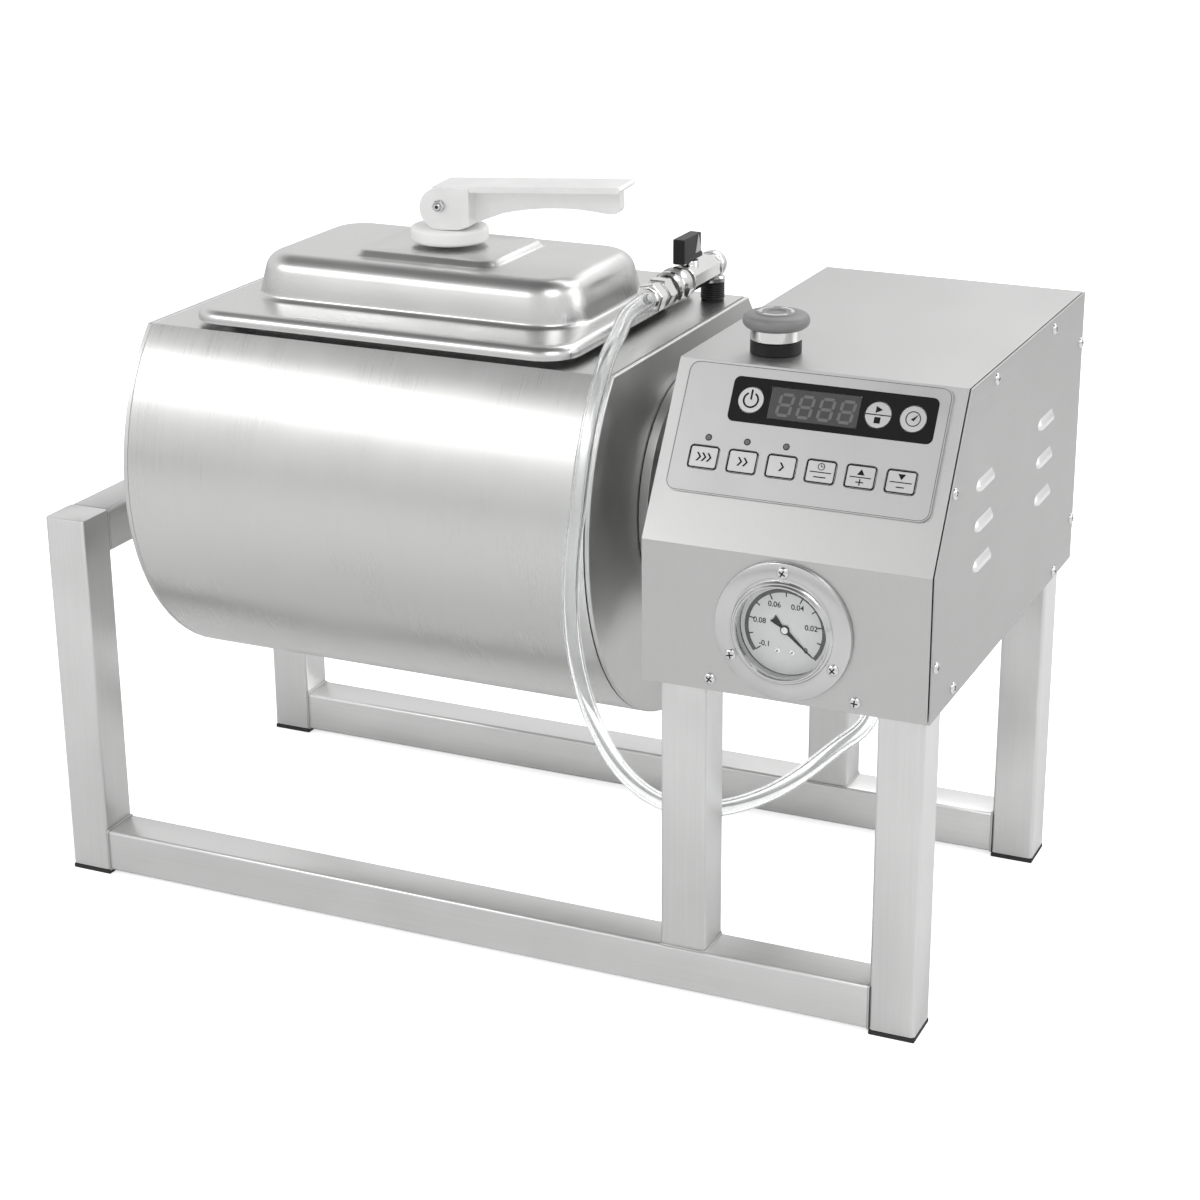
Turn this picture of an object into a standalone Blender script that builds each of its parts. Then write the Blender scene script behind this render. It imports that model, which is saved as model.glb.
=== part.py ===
"""Bench-top vacuum tumbler for meat: a stainless drum with a clamped lid turns between a bearing on the
left end of a tube stand and a gear motor in the control housing on the right. Metres, +Z up, front is -Y."""

import math

import bmesh
import bpy
from mathutils import Matrix, Vector

# Clearances and sheet
gap = 0.0003
sheet = 0.0012

# Tube stand
tube_side = 0.027
tube_wall = 0.0015
tube_cap = 0.002
stand_left = -0.280
stand_short_of_housing = 0.021
foot_height = 0.003
foot_plug = 0.010

# Drum
axis_above_housing_bottom = 0.068
drum_left_room = 0.033
drum_length = 0.301
drum_radius = 0.136
drum_flat = 0.0915
drum_wall = 0.0015
end_plate = 0.003
baffle_height = 0.020
baffle_thickness = 0.003
drum_steps = 56

# Bearing and drive
bearing_height = 0.0265
bearing_bore = 0.011
bearing_round = 0.0185
bearing_foot_half = 0.034
bearing_foot_height = 0.007
shaft_radius = 0.008
bush_clearance = 0.0003
trunnion_flange_radius = 0.032
trunnion_flange = 0.005
drive_room = 0.0315
drive_disc_radius = 0.070
drive_disc = 0.006
drive_hub_radius = 0.024

# Control housing
housing_width = 0.1655
housing_depth = 0.290
housing_front = -0.155
housing_bottom = 0.192
housing_top = 0.362
slope_run = 0.054
slope_rise = 0.088
middle_leg_inset = 0.0105
right_leg_inset = 0.0025
tray_flange = 0.010
louvre_length = 0.034
louvre_height = 0.009
louvre_depth = 0.002
louvre_rows = (0.303, 0.280, 0.257)
louvre_columns = (-0.0707, 0.0537)

# Control face, measured from the fold upwards along the slope
face_left = 0.007
face_right = 0.009
face_bottom = 0.0285
face_top_margin = 0.00125
face_thickness = 0.0012
face_corner = 0.006
key_names = ("key_fast", "key_medium", "key_slow", "key_time", "key_up", "key_down")
key_margin = 0.019
key_rise = 0.020
key_share = 0.7623
key_height = 0.0130
key_corner = 0.0022
key_thickness = 0.0009
key_lift = 0.0005
round_keys_down = 0.019
round_key_radius = 0.0072
power_from_left = 0.039
start_from_right = 0.0385
vacuum_from_right = 0.0191
window_room = 0.0106
window_height = 0.0178
board_inset = (0.008, 0.010)
board_depth = 0.012
board_thickness = 0.0016
board_standoff = 0.003

# Vacuum gauge
gauge_margin = 0.00175
gauge_barrel_share = 0.752
gauge_barrel_depth = 0.028
gauge_glass_share = 0.651
gauge_floor = -0.0034
gauge_front = 0.0062
needle_share = 0.78
needle_tail_share = 0.30

# Emergency stop
stop_along = 0.043
stop_back = 0.030
stop_collar_radius = 0.0156
stop_collar_height = 0.007
stop_skirt_radius = 0.0142
stop_head_radius = 0.0200
stop_travel = 0.005
stop_barrel_radius = 0.011
stop_block_side = 0.030
stop_block_height = 0.034

# Lid and its clamp
mouth_inset = (0.017, 0.027)
mouth_corner = 0.020
collar_wall = 0.004
collar_height = 0.0062
gasket_height = 0.0027
lid_left_room = 0.0255
lid_right_room = 0.0295
lid_half_depth = 0.101
lid_corner = 0.022
lid_rim_drop = 0.0063
dome_inset = (0.016, 0.040)
dome_corner = 0.028
dome_height = 0.0255
dome_round = 0.010
dome_foot_round = 0.003
pad_half = (0.046, 0.037)
pad_corner = 0.008
pad_height = 0.0035
stud_radius = 0.005
stud_hole = 0.0056
disc_radius = 0.0234
disc_thickness = 0.0088
disc_stand = 0.0025
cam_radius = 0.0125
cam_offset = 0.0018
pin_radius = 0.003
lever_turn = 6.5
lever_rise = 2.9
lever_half_width = 0.016
arm_length = 0.108
arm_flange = 0.0035
arm_root_depth = 0.0200
arm_waist_depth = 0.0108
arm_tip_depth = 0.0140
bar_length = 0.166
bar_width = 0.022
bar_thickness = 0.008
bar_drop = 0.0085

# Valve and quick coupling, which point to the front over the drum's right end
valve_room_share = 0.593
valve_back = 0.0843
socket_radius = 0.0075
socket_height = 0.0115
valve_height = 0.0223
elbow_radius = 0.0088
valve_flats = 0.0170
valve_body_front = 0.012
sleeve_radius = 0.0105
sleeve_length = 0.020
sleeve_travel = 0.003
coupling_radius = 0.0072
tail_flats = 0.0165
handle_length = 0.030
handle_width = 0.0075
handle_height = 0.0150
stem_back = 0.0365

# Hose
hose_radius = 0.00475
fitting_along = 0.1157
fitting_back = 0.058
fitting_collar = 0.0042
fitting_socket = 0.0026

# Inside and behind the housing
gearbox_size = (0.045, 0.060, 0.060)
motor_radius = 0.027
motor_length = 0.070
bracket_plate = 0.003
bracket_half = 0.040
bracket_top = 0.040
bracket_foot = 0.030
pump_radius = 0.022
pump_length = 0.055
pump_head_length = 0.026
pump_head_rise = 0.006
pump_lap = 0.002
pump_side_room = 0.020
pump_back_room = 0.015
supply_height = 0.034
supply_room = 0.008
supply_back_room = 0.012
unit_clearance = 0.003
gland_along = 0.085
gland_up = 0.024
gland_length = 0.020

# Places worked out from the sizes above
drum_left = stand_left + tube_side + drum_left_room
drum_right = drum_left + drum_length
housing_left = drum_right + drive_room
housing_right = housing_left + housing_width
housing_back = housing_front + housing_depth
housing_fold = housing_top - slope_rise
stand_front = housing_front + sheet + gap
stand_back = stand_front + housing_depth - stand_short_of_housing
axis_y = (stand_front + stand_back) / 2
axis_z = housing_bottom + axis_above_housing_bottom
left_frame_top = axis_z - bearing_height
middle_left = housing_left + middle_leg_inset
right_leg = housing_right - right_leg_inset - tube_side
leg_top = housing_bottom - gap
rail_top = foot_height + tube_side
flat_z = axis_z + drum_flat
lid_half = ((drum_length - lid_left_room - lid_right_room) / 2, lid_half_depth)
mouth_half = (lid_half[0] - mouth_inset[0], lid_half[1] - mouth_inset[1])
dome_half = (lid_half[0] - dome_inset[0], lid_half[1] - dome_inset[1])
lid_x = drum_left + lid_left_room + lid_half[0]
valve_x = drum_right - valve_room_share * lid_right_room
lid_y = axis_y
collar_top = flat_z + gap + collar_height
lid_flange = collar_top + 2 * gap + gasket_height
slope_top_front = housing_front + slope_run
slope_length = math.hypot(slope_run, slope_rise)
face_width = housing_width - face_left - face_right
face_height = slope_length - face_bottom - face_top_margin
face_top = face_bottom + face_height
face_end = face_left + face_width
key_first = face_left + key_margin
key_pitch = (face_width - 2 * key_margin) / (len(key_names) - 1)
key_width = key_share * key_pitch
key_row = face_bottom + key_rise
round_key_row = face_top - round_keys_down
power_along = face_left + power_from_left
start_along = face_end - start_from_right
round_keys = (
    ("key_power", power_along),
    ("key_start", start_along),
    ("key_vacuum", face_end - vacuum_from_right),
)
window_along = (power_along + start_along) / 2
window_width = start_along - power_along - 2 * window_room
gauge_flange_radius = (housing_fold - housing_bottom) / 2 - gauge_margin
gauge_barrel_radius = gauge_barrel_share * gauge_flange_radius
gauge_glass_radius = gauge_glass_share * gauge_flange_radius

drum_pieces = (
    "drum_shell",
    "drum_end_left",
    "drum_end_right",
    "drive_hub",
    "mouth_collar",
    "valve_socket",
    "valve_body",
    "hose_tail",
)

parts = bpy.data.collections.new("vacuum_tumbler")
cutters = bpy.data.collections.new("cutters")


def start_scene():
    for obj in list(bpy.data.objects):
        bpy.data.objects.remove(obj)
    bpy.context.scene.collection.children.link(parts)
    bpy.context.scene.collection.children.link(cutters)


def material(name, colour, roughness, metallic):
    made = bpy.data.materials.new(name)
    made.use_nodes = True
    shader = made.node_tree.nodes["Principled BSDF"]
    shader.inputs["Base Color"].default_value = (*colour, 1.0)
    shader.inputs["Roughness"].default_value = roughness
    shader.inputs["Metallic"].default_value = metallic
    return made


def place(x=0.0, y=0.0, z=0.0, axes=((1, 0, 0), (0, 1, 0), (0, 0, 1))):
    """A matrix at a point whose local axes point as given."""
    turned = Matrix([Vector(a) for a in axes]).transposed().to_4x4()
    return Matrix.Translation((x, y, z)) @ turned


ALONG_X = ((0, 1, 0), (0, 0, 1), (1, 0, 0))
TO_FRONT = ((1, 0, 0), (0, 0, 1), (0, -1, 0))
TO_BACK = ((0, 0, 1), (1, 0, 0), (0, 1, 0))


def add(name, data, where, finish):
    obj = bpy.data.objects.new(name, data)
    obj.matrix_world = where
    if finish is None:
        cutters.objects.link(obj)
        obj.hide_render = True
        obj.display_type = "WIRE"
    else:
        parts.objects.link(obj)
        data.materials.append(finish)
    return obj


def mesh_of(name, bm, where, finish, smooth=None):
    data = bpy.data.meshes.new(name)
    bmesh.ops.recalc_face_normals(bm, faces=bm.faces)
    bm.to_mesh(data)
    bm.free()
    if smooth is not None:
        data.shade_smooth()
        data.set_sharp_from_angle(angle=math.radians(smooth))
    return add(name, data, where, finish)


def block(name, low, high, finish, where=None):
    """A box between two corners, in the frame of where."""
    bm = bmesh.new()
    size = [b - a for a, b in zip(low, high)]
    middle = [(a + b) / 2 for a, b in zip(low, high)]
    bmesh.ops.create_cube(bm, size=1.0, matrix=Matrix.Translation(middle) @ Matrix.Diagonal((*size, 1)))
    return mesh_of(name, bm, where or Matrix(), finish)


def rod(name, radius, start, end, where, finish, steps=32, far_radius=None):
    """A cylinder or cone along the local z axis of where."""
    bm = bmesh.new()
    centre = Matrix.Translation((0, 0, (start + end) / 2))
    bmesh.ops.create_cone(
        bm,
        cap_ends=True,
        segments=steps,
        radius1=radius,
        radius2=radius if far_radius is None else far_radius,
        depth=end - start,
        matrix=centre,
    )
    return mesh_of(name, bm, where, finish, smooth=40)


def turned(name, profile, where, finish, steps=32):
    """A profile of (radius, height) points turned about the local z axis; its outer side runs downwards."""
    data = bpy.data.meshes.new(name)
    points = [(r, 0, z) for r, z in profile]
    data.from_pydata(points, [(i, i + 1) for i in range(len(points) - 1)], [])
    obj = add(name, data, where, finish)
    screw = obj.modifiers.new("turn", "SCREW")
    screw.steps = steps
    screw.render_steps = steps
    screw.use_merge_vertices = True
    screw.merge_threshold = 0.00001
    screw.use_smooth_shade = True
    split = obj.modifiers.new("edges", "EDGE_SPLIT")
    split.split_angle = math.radians(40)
    weld = obj.modifiers.new("weld", "WELD")
    weld.merge_threshold = 0.00001
    return obj


def closed_ring(profile):
    return [*profile, profile[0]]


def arc(centre, radius, start, end, steps):
    """Points on an arc, in degrees, both ends included."""
    angles = [math.radians(start + (end - start) * i / steps) for i in range(steps + 1)]
    return [(centre[0] + radius * math.cos(a), centre[1] + radius * math.sin(a)) for a in angles]


def rounded(half_x, half_y, corner, steps=5, centre=(0, 0)):
    """A rectangle with round corners, anticlockwise."""
    points = []
    for i, (sx, sy) in enumerate(((1, 1), (-1, 1), (-1, -1), (1, -1))):
        middle = (centre[0] + sx * (half_x - corner), centre[1] + sy * (half_y - corner))
        points += arc(middle, corner, 90 * i, 90 * i + 90, steps)
    return points


def circle(radius, steps=32, centre=(0, 0)):
    return arc(centre, radius, 0, 360, steps)[:-1]


def plate(name, outlines, low, high, where, finish):
    """Flat outlines, the later ones being holes, extruded along the local z axis from low to high."""
    curve = bpy.data.curves.new(name, "CURVE")
    curve.dimensions = "2D"
    curve.fill_mode = "BOTH"
    curve.extrude = (high - low) / 2
    for outline in outlines:
        spline = curve.splines.new("POLY")
        spline.points.add(len(outline) - 1)
        spline.use_cyclic_u = True
        for point, (x, y) in zip(spline.points, outline):
            point.co = (x, y, 0, 1)
    shape = bpy.data.objects.new(name, curve)
    bpy.context.scene.collection.objects.link(shape)
    graph = bpy.context.evaluated_depsgraph_get()
    data = bpy.data.meshes.new_from_object(shape.evaluated_get(graph))
    bpy.data.objects.remove(shape)
    bpy.data.curves.remove(curve)
    bm = bmesh.new()
    bm.from_mesh(data)
    bpy.data.meshes.remove(data)
    bmesh.ops.remove_doubles(bm, verts=bm.verts, dist=0.000001)
    bmesh.ops.translate(bm, verts=bm.verts, vec=(0, 0, (low + high) / 2))
    return mesh_of(name, bm, where, finish, smooth=30)


def loft(name, rings, where, finish, closes=False, smooth=50):
    """A skin over rings of equally many points; it either closes on its first ring or is capped."""
    bm = bmesh.new()
    rows = [[bm.verts.new(point) for point in ring] for ring in rings]
    count = len(rows[0])
    pairs = list(zip(rows, rows[1:]))
    if closes:
        pairs.append((rows[-1], rows[0]))
    for below, above in pairs:
        for i in range(count):
            j = (i + 1) % count
            bm.faces.new((below[i], below[j], above[j], above[i]))
    if not closes:
        bm.faces.new(rows[0][::-1])
        bm.faces.new(rows[-1])
    return mesh_of(name, bm, where, finish, smooth=smooth)


def at_height(outline, z):
    return [(x, y, z) for x, y in outline]


def combine(obj, other, operation):
    """Cuts other from obj, or joins it to obj; other stays as a hidden helper."""
    modifier = obj.modifiers.new(other.name, "BOOLEAN")
    modifier.operation = operation
    modifier.solver = "EXACT"
    modifier.object = other
    return obj


def cut(obj, cutter):
    return combine(obj, cutter, "DIFFERENCE")


def join(obj, other):
    return combine(obj, other, "UNION")


def empty(name, where):
    obj = bpy.data.objects.new(name, None)
    obj.matrix_world = where
    obj.empty_display_size = 0.02
    parts.objects.link(obj)
    return obj


def hang(obj, parent):
    """Parents obj and leaves it where it is."""
    world = obj.matrix_world.copy()
    obj.parent = parent
    obj.matrix_parent_inverse = parent.matrix_world.inverted()
    obj.matrix_world = world
    return obj


def square_tube(name, axis, low, high, corner, finish, capped=False):
    """A square tube along one axis from low to high; a capped tube is closed at its high end."""
    first, second = [i for i in range(3) if i != axis]
    a, b = [0.0] * 3, [0.0] * 3
    a[axis], b[axis] = low, high
    a[first], b[first] = corner[0], corner[0] + tube_side
    a[second], b[second] = corner[1], corner[1] + tube_side
    obj = block(name, a, b, finish)
    hollow_low, hollow_high = list(a), list(b)
    for i in (first, second):
        hollow_low[i] += tube_wall
        hollow_high[i] -= tube_wall
    hollow_low[axis] -= tube_side
    hollow_high[axis] += -tube_cap if capped else tube_side
    return cut(obj, block(name + "_bore", hollow_low, hollow_high, None))


def stand(steel, rubber):
    """Six legs, two floor rails and the crossbar that carries the drum's left end, on four rubber feet."""
    back_row = stand_back - tube_side
    legs = (
        ("leg_front_left", stand_left, stand_front, foot_height, left_frame_top),
        ("leg_back_left", stand_left, back_row, foot_height, left_frame_top),
        ("leg_front_right", right_leg, stand_front, foot_height, leg_top),
        ("leg_back_right", right_leg, back_row, foot_height, leg_top),
        ("leg_front_middle", middle_left, stand_front, rail_top + gap, leg_top),
        ("leg_back_middle", middle_left, back_row, rail_top + gap, leg_top),
    )
    for name, x, y, low, high in legs:
        square_tube(name, 2, low, high, (x, y), steel, capped=True)
    rail_left = stand_left + tube_side + gap
    square_tube("rail_front", 0, rail_left, right_leg - gap, (stand_front, foot_height), steel)
    square_tube("rail_back", 0, rail_left, right_leg - gap, (back_row, foot_height), steel)
    bar = (stand_left, left_frame_top - tube_side)
    square_tube("crossbar_left", 1, stand_front + tube_side + gap, back_row - gap, bar, steel)
    inset = tube_wall + gap
    for name, x, y, low, high in legs[:4]:
        pad_low, pad_high = (x, y, 0), (x + tube_side, y + tube_side, foot_height - gap)
        foot = block(name.replace("leg", "foot"), pad_low, pad_high, rubber)
        plug_low = (x + inset, y + inset, foot_height / 2)
        plug_high = (x + tube_side - inset, y + tube_side - inset, foot_height + foot_plug)
        join(foot, block(foot.name + "_plug", plug_low, plug_high, None))


def housing_outline(offset):
    """The housing's side outline in (Y, Z), moved in by offset and open at the foot."""
    lean = math.atan2(slope_run, slope_rise)
    fold_shift = offset * math.tan(lean / 2)
    top_shift = offset * math.tan((math.pi / 2 - lean) / 2)
    return (
        (housing_front + offset, housing_fold - fold_shift),
        (slope_top_front + top_shift, housing_top - offset),
        (housing_back - offset, housing_top - offset),
    )


def slope_place(along=0.0, up=0.0, out=0.0):
    """The frame of the sloping control face: x to the right, y up the slope, z out of it."""
    up_slope = Vector((0, slope_run, slope_rise)).normalized()
    outward = Vector((1, 0, 0)).cross(up_slope)
    corner = Vector((housing_left, housing_front, housing_fold))
    point = corner + Vector((1, 0, 0)) * along + up_slope * up + outward * out
    return place(*point, axes=((1, 0, 0), up_slope, outward))


def gauge_place():
    return place(housing_left + housing_width / 2, housing_front, (housing_bottom + housing_fold) / 2, TO_FRONT)


def stop_place():
    return place(housing_left + stop_along, slope_top_front + stop_back, housing_top)


def drum_axis_place(x):
    return place(x, axis_y, axis_z, ALONG_X)


def housing(steel, bright):
    """The folded body, the tray that closes it from below and the louvred side panel."""
    body_right = housing_right - sheet - gap
    outer = [(housing_front, housing_bottom), *housing_outline(0.0), (housing_back, housing_bottom)]
    shell = plate("housing_shell", [outer], housing_left, body_right, place(axes=ALONG_X), steel)
    below = housing_bottom - tube_side
    hollow = [(housing_front + sheet, below), *housing_outline(sheet), (housing_back - sheet, below)]
    hollow_right = body_right + tube_side
    across = place(axes=ALONG_X)
    cut(shell, plate("housing_hollow", [hollow], housing_left + sheet, hollow_right, across, None))
    deep = 4 * sheet
    cut(shell, rod("gauge_hole", gauge_barrel_radius + gap, -deep, deep, gauge_place(), None, 48))
    cut(shell, rod("stop_hole", stop_barrel_radius + gap, -deep, deep, stop_place(), None))
    shaft_hole = rod("shaft_hole", drive_hub_radius + 2 * gap, -deep, deep, drum_axis_place(housing_left), None)
    cut(shell, shaft_hole)
    gland = place(housing_left + gland_along, housing_back, housing_bottom + gland_up, TO_BACK)
    cut(shell, rod("gland_hole", 0.008 + gap, -deep, deep, gland, None))

    edge = sheet + gap
    low = (housing_left + edge, housing_front + edge, housing_bottom)
    high = (body_right - gap, housing_back - edge, housing_bottom + tray_flange)
    tray = block("housing_tray", low, high, bright)
    inside_low = (low[0] + sheet, low[1] + sheet, low[2] + sheet)
    inside_high = (high[0] - sheet, high[1] - sheet, high[2] + sheet)
    cut(tray, block("tray_hollow", inside_low, inside_high, None))
    cut(tray, rod("hose_hole", 0.006 + gap, -deep, deep, hose_fitting_place(), None))

    panel = plate("side_panel", [outer], housing_right - sheet, housing_right, across, steel)
    for column, y in enumerate(louvre_columns):
        for row, z in enumerate(louvre_rows):
            name = f"louvre_{column}_{row}"
            join(panel, hood(name, y, z, 0.0))
    for column, y in enumerate(louvre_columns):
        for row, z in enumerate(louvre_rows):
            name = f"louvre_slot_{column}_{row}"
            cut(panel, hood(name, y, z, sheet * 0.6))


def hood(name, y, z, shrink):
    """A pressed louvre: it leans out of the panel downwards, and its shrunken copy opens it from below."""
    taper = louvre_height * 0.45
    half = louvre_length / 2 - shrink
    top = z + louvre_height / 2 - shrink
    foot = z - louvre_height / 2 - (shrink and sheet)
    back = housing_right - sheet / 2 - (shrink and sheet)
    front = housing_right + louvre_depth - shrink
    back_ring = [(back, y - half, foot), (back, y + half, foot), (back, y + half, top), (back, y - half, top)]
    inner_half = half - taper
    shoulder = z + louvre_height * 0.12 - shrink
    front_ring = [
        (front, y - inner_half, foot),
        (front, y + inner_half, foot),
        (front, y + inner_half, shoulder),
        (front, y - inner_half, shoulder),
    ]
    return loft(name, [back_ring, front_ring], Matrix(), None)


def control_face(membrane, key_finish, glass, board_finish):
    """The membrane plate on the slope, its keys, the display window and the board behind."""
    face = slope_place()
    holes = []
    for i, name in enumerate(key_names):
        centre = (key_first + i * key_pitch, key_row)
        half = (key_width / 2, key_height / 2)
        holes.append(rounded(half[0] + gap, half[1] + gap, key_corner, 2, centre))
        outline = rounded(half[0], half[1], key_corner, 2)
        key(name, outline, centre, key_finish)
    for name, along in round_keys:
        centre = (along, round_key_row)
        holes.append(circle(round_key_radius + gap, 20, centre))
        key(name, circle(round_key_radius, 20), centre, key_finish)
    window_middle = (window_along, round_key_row)
    window_half = (window_width / 2, window_height / 2)
    holes.append(rounded(window_half[0] + gap, window_half[1] + gap, 0.001, 1, window_middle))
    face_middle = (face_left + face_width / 2, face_bottom + face_height / 2)
    outline = rounded(face_width / 2, face_height / 2, face_corner, 4, face_middle)
    plate("control_overlay", [outline, *holes], gap, gap + face_thickness, face, membrane)
    window = rounded(*window_half, 0.001, 1)
    plate("display_window", [window], gap, gap + face_thickness, slope_place(*window_middle), glass)

    board_half = (face_width / 2 - board_inset[0], face_height / 2 - board_inset[1])
    behind = slope_place(*face_middle, -sheet - board_depth)
    board = plate("control_board", [rounded(*board_half, 0.002, 1)], -board_thickness, 0, behind, board_finish)
    reach = board_depth - gap
    for sx in (-1, 1):
        for sy in (-1, 1):
            x, y = sx * (board_half[0] - 0.006), sy * (board_half[1] - 0.006)
            post = behind @ Matrix.Translation((x, y, 0))
            name = f"standoff_{sx}_{sy}"
            join(board, rod(name, board_standoff, -board_thickness / 2, reach, post, None, 10))


def key(name, outline, centre, finish):
    """A key whose origin is on its own travel."""
    plate(name, [outline], 0, key_thickness, slope_place(*centre, gap + key_lift), finish)


def gauge(chrome, white, black, glass):
    """The vacuum gauge: a flanged case let into the front, its dial, pointer and glass."""
    where = gauge_place()
    r, f = gauge_glass_radius, gauge_front
    case = [
        (0, gauge_floor),
        (r + gap, gauge_floor),
        (r + gap, f),
        (r + 0.0016, f),
        (r + 0.0030, f - 0.0012),
        (r + 0.0062, f - 0.0032),
        (gauge_flange_radius - 0.0006, gap + 0.0016),
        (gauge_flange_radius, gap + 0.0010),
        (gauge_flange_radius, gap),
        (gauge_barrel_radius, gap),
        (gauge_barrel_radius, gap - gauge_barrel_depth),
        (0, gap - gauge_barrel_depth),
    ]
    turned("gauge_case", case, where, chrome, steps=48)
    dial_top = gauge_floor + gap + 0.0008
    rod("gauge_dial", r, gauge_floor + gap, dial_top, where, white, 40)
    turn = Matrix.Rotation(math.radians(-45), 4, "Z")
    tail, tip = needle_tail_share * r, needle_share * r
    blade = [(-tail, 0.0018), (-tail, -0.0018), (0.0, -0.0009), (tip, -0.0002), (tip, 0.0002), (0.0, 0.0009)]
    pointer = plate("gauge_pointer", [blade], dial_top + gap, dial_top + gap + 0.0006, where @ turn, black)
    hub = rod("pointer_hub", 0.0028, dial_top + gap, dial_top + gap + 0.0014, where @ turn, None, 16)
    join(pointer, hub)
    rod("gauge_lens", r, f - 0.0026, f - 0.0012, where, glass, 40)


def emergency_stop(black, grey):
    """The collar and contact block below the housing top, and the mushroom head that is pushed down."""
    where = stop_place()
    bore = stop_skirt_radius + gap
    floor = stop_collar_height - gap - stop_travel - gap - 0.0005
    body = [
        (0, floor),
        (bore, floor),
        (bore, stop_collar_height),
        (stop_collar_radius, stop_collar_height),
        (stop_collar_radius, gap),
        (stop_barrel_radius, gap),
        (stop_barrel_radius, -0.004),
        (stop_block_side / 2, -0.004),
        (stop_block_side / 2, -0.004 - stop_block_height),
        (0, -0.004 - stop_block_height),
    ]
    turned("stop_body", body, where, black, steps=32)
    skirt_foot = stop_collar_height - 0.0005
    skirt_top = stop_collar_height + 0.0062
    r = stop_head_radius
    head = [
        (0, skirt_top + 0.0098),
        (r * 0.30, skirt_top + 0.0096),
        (r * 0.62, skirt_top + 0.0089),
        (r * 0.90, skirt_top + 0.0075),
        (r * 0.985, skirt_top + 0.0066),
        (r, skirt_top + 0.0054),
        (r * 0.985, skirt_top + 0.0040),
        (r * 0.93, skirt_top + 0.0030),
        (stop_skirt_radius + 0.0006, skirt_top),
        (stop_skirt_radius, skirt_top - 0.0006),
        (stop_skirt_radius, skirt_foot),
        (0, skirt_foot),
    ]
    turned("stop_button", head, where, grey, steps=40)


def drum_outline(shrink):
    """The drum's section in (Y, Z) round its axis: a circle cut off by the flat that carries the lid."""
    radius, flat = drum_radius - shrink, drum_flat - shrink
    start = math.degrees(math.asin(flat / radius))
    return arc((0, 0), radius, start, -180 - start, drum_steps)


def drum(steel, dark):
    """The drum shell with its mouth and three baffles, both end plates, and what the drum turns on."""
    x0, x1 = drum_left + end_plate + gap, drum_right - end_plate - gap
    centre = place(0, axis_y, axis_z, ALONG_X)
    shell = plate("drum_shell", [drum_outline(0), drum_outline(drum_wall)], x0, x1, centre, steel)
    for i, angle in enumerate((-20, -90, -160)):
        lean = math.radians(angle)
        spoke = Matrix.Rotation(lean, 4, "Z")
        reach = drum_radius - drum_wall
        low = (reach - baffle_height, -baffle_thickness / 2, x0 + 0.02)
        high = (reach + drum_wall / 2, baffle_thickness / 2, x1 - 0.02)
        join(shell, block(f"baffle_{i}", low, high, None, centre @ spoke))
    lid_middle = place(lid_x, lid_y, 0)
    mouth = rounded(*mouth_half, mouth_corner)
    cut(shell, plate("mouth_cut", [mouth], flat_z - 0.01, flat_z + 0.01, lid_middle, None))

    left = plate("drum_end_left", [drum_outline(0)], drum_left, drum_left + end_plate, centre, steel)
    room = drum_left - stand_left
    flange_end = -trunnion_flange
    shaft_end = -(room - 0.002)
    trunnion = [
        (0, end_plate / 2),
        (trunnion_flange_radius, end_plate / 2),
        (trunnion_flange_radius, flange_end),
        (shaft_radius, flange_end),
        (shaft_radius, shaft_end + 0.001),
        (shaft_radius - 0.001, shaft_end),
        (0, shaft_end),
    ]
    join(left, turned("trunnion", trunnion, drum_axis_place(drum_left), None, steps=32))

    plate("drum_end_right", [drum_outline(0)], drum_right - end_plate, drum_right, centre, steel)
    hub_end = housing_left + sheet + gap
    shaft_far = gearbox_left() + gearbox_size[0] * 0.8
    disc_left = drum_right + gap
    hub = [
        (0, shaft_far - disc_left),
        (shaft_radius - 0.001, shaft_far - disc_left),
        (shaft_radius, shaft_far - disc_left - 0.001),
        (shaft_radius, hub_end - disc_left),
        (drive_hub_radius, hub_end - disc_left),
        (drive_hub_radius, drive_disc),
        (drive_disc_radius, drive_disc),
        (drive_disc_radius, 0),
        (0, 0),
    ]
    turned("drive_hub", hub, drum_axis_place(disc_left), dark, steps=48)

    collar_low = flat_z + gap
    outer = (mouth_half[0] + collar_wall, mouth_half[1] + collar_wall)
    ring = [rounded(*outer, mouth_corner + collar_wall), mouth]
    plate("mouth_collar", ring, collar_low, collar_top, lid_middle, steel)


def gearbox_left():
    return housing_left + sheet + 2 * gap + bracket_plate + 0.004


def bearing(cast, bronze):
    """A pillow block on the crossbar with a bronze bush for the drum's left shaft."""
    x0, x1 = stand_left + 0.002, stand_left + tube_side - 0.002
    across = place(0, axis_y, axis_z, ALONG_X)
    foot_low = -bearing_height + gap
    foot_high = foot_low + bearing_foot_height
    half = bearing_foot_half
    shoulder = arc((0, 0), bearing_round, -28, 208, 24)
    outline = [(half, foot_low), (half, foot_high), *shoulder, (-half, foot_high), (-half, foot_low)]
    bore = circle(bearing_bore + gap, 32)
    plate("bearing_block", [outline, bore], x0, x1, across, cast)
    ring = [circle(bearing_bore, 32), circle(shaft_radius + bush_clearance, 32)]
    plate("bearing_bush", ring, x0, x1, across, bronze)


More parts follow.
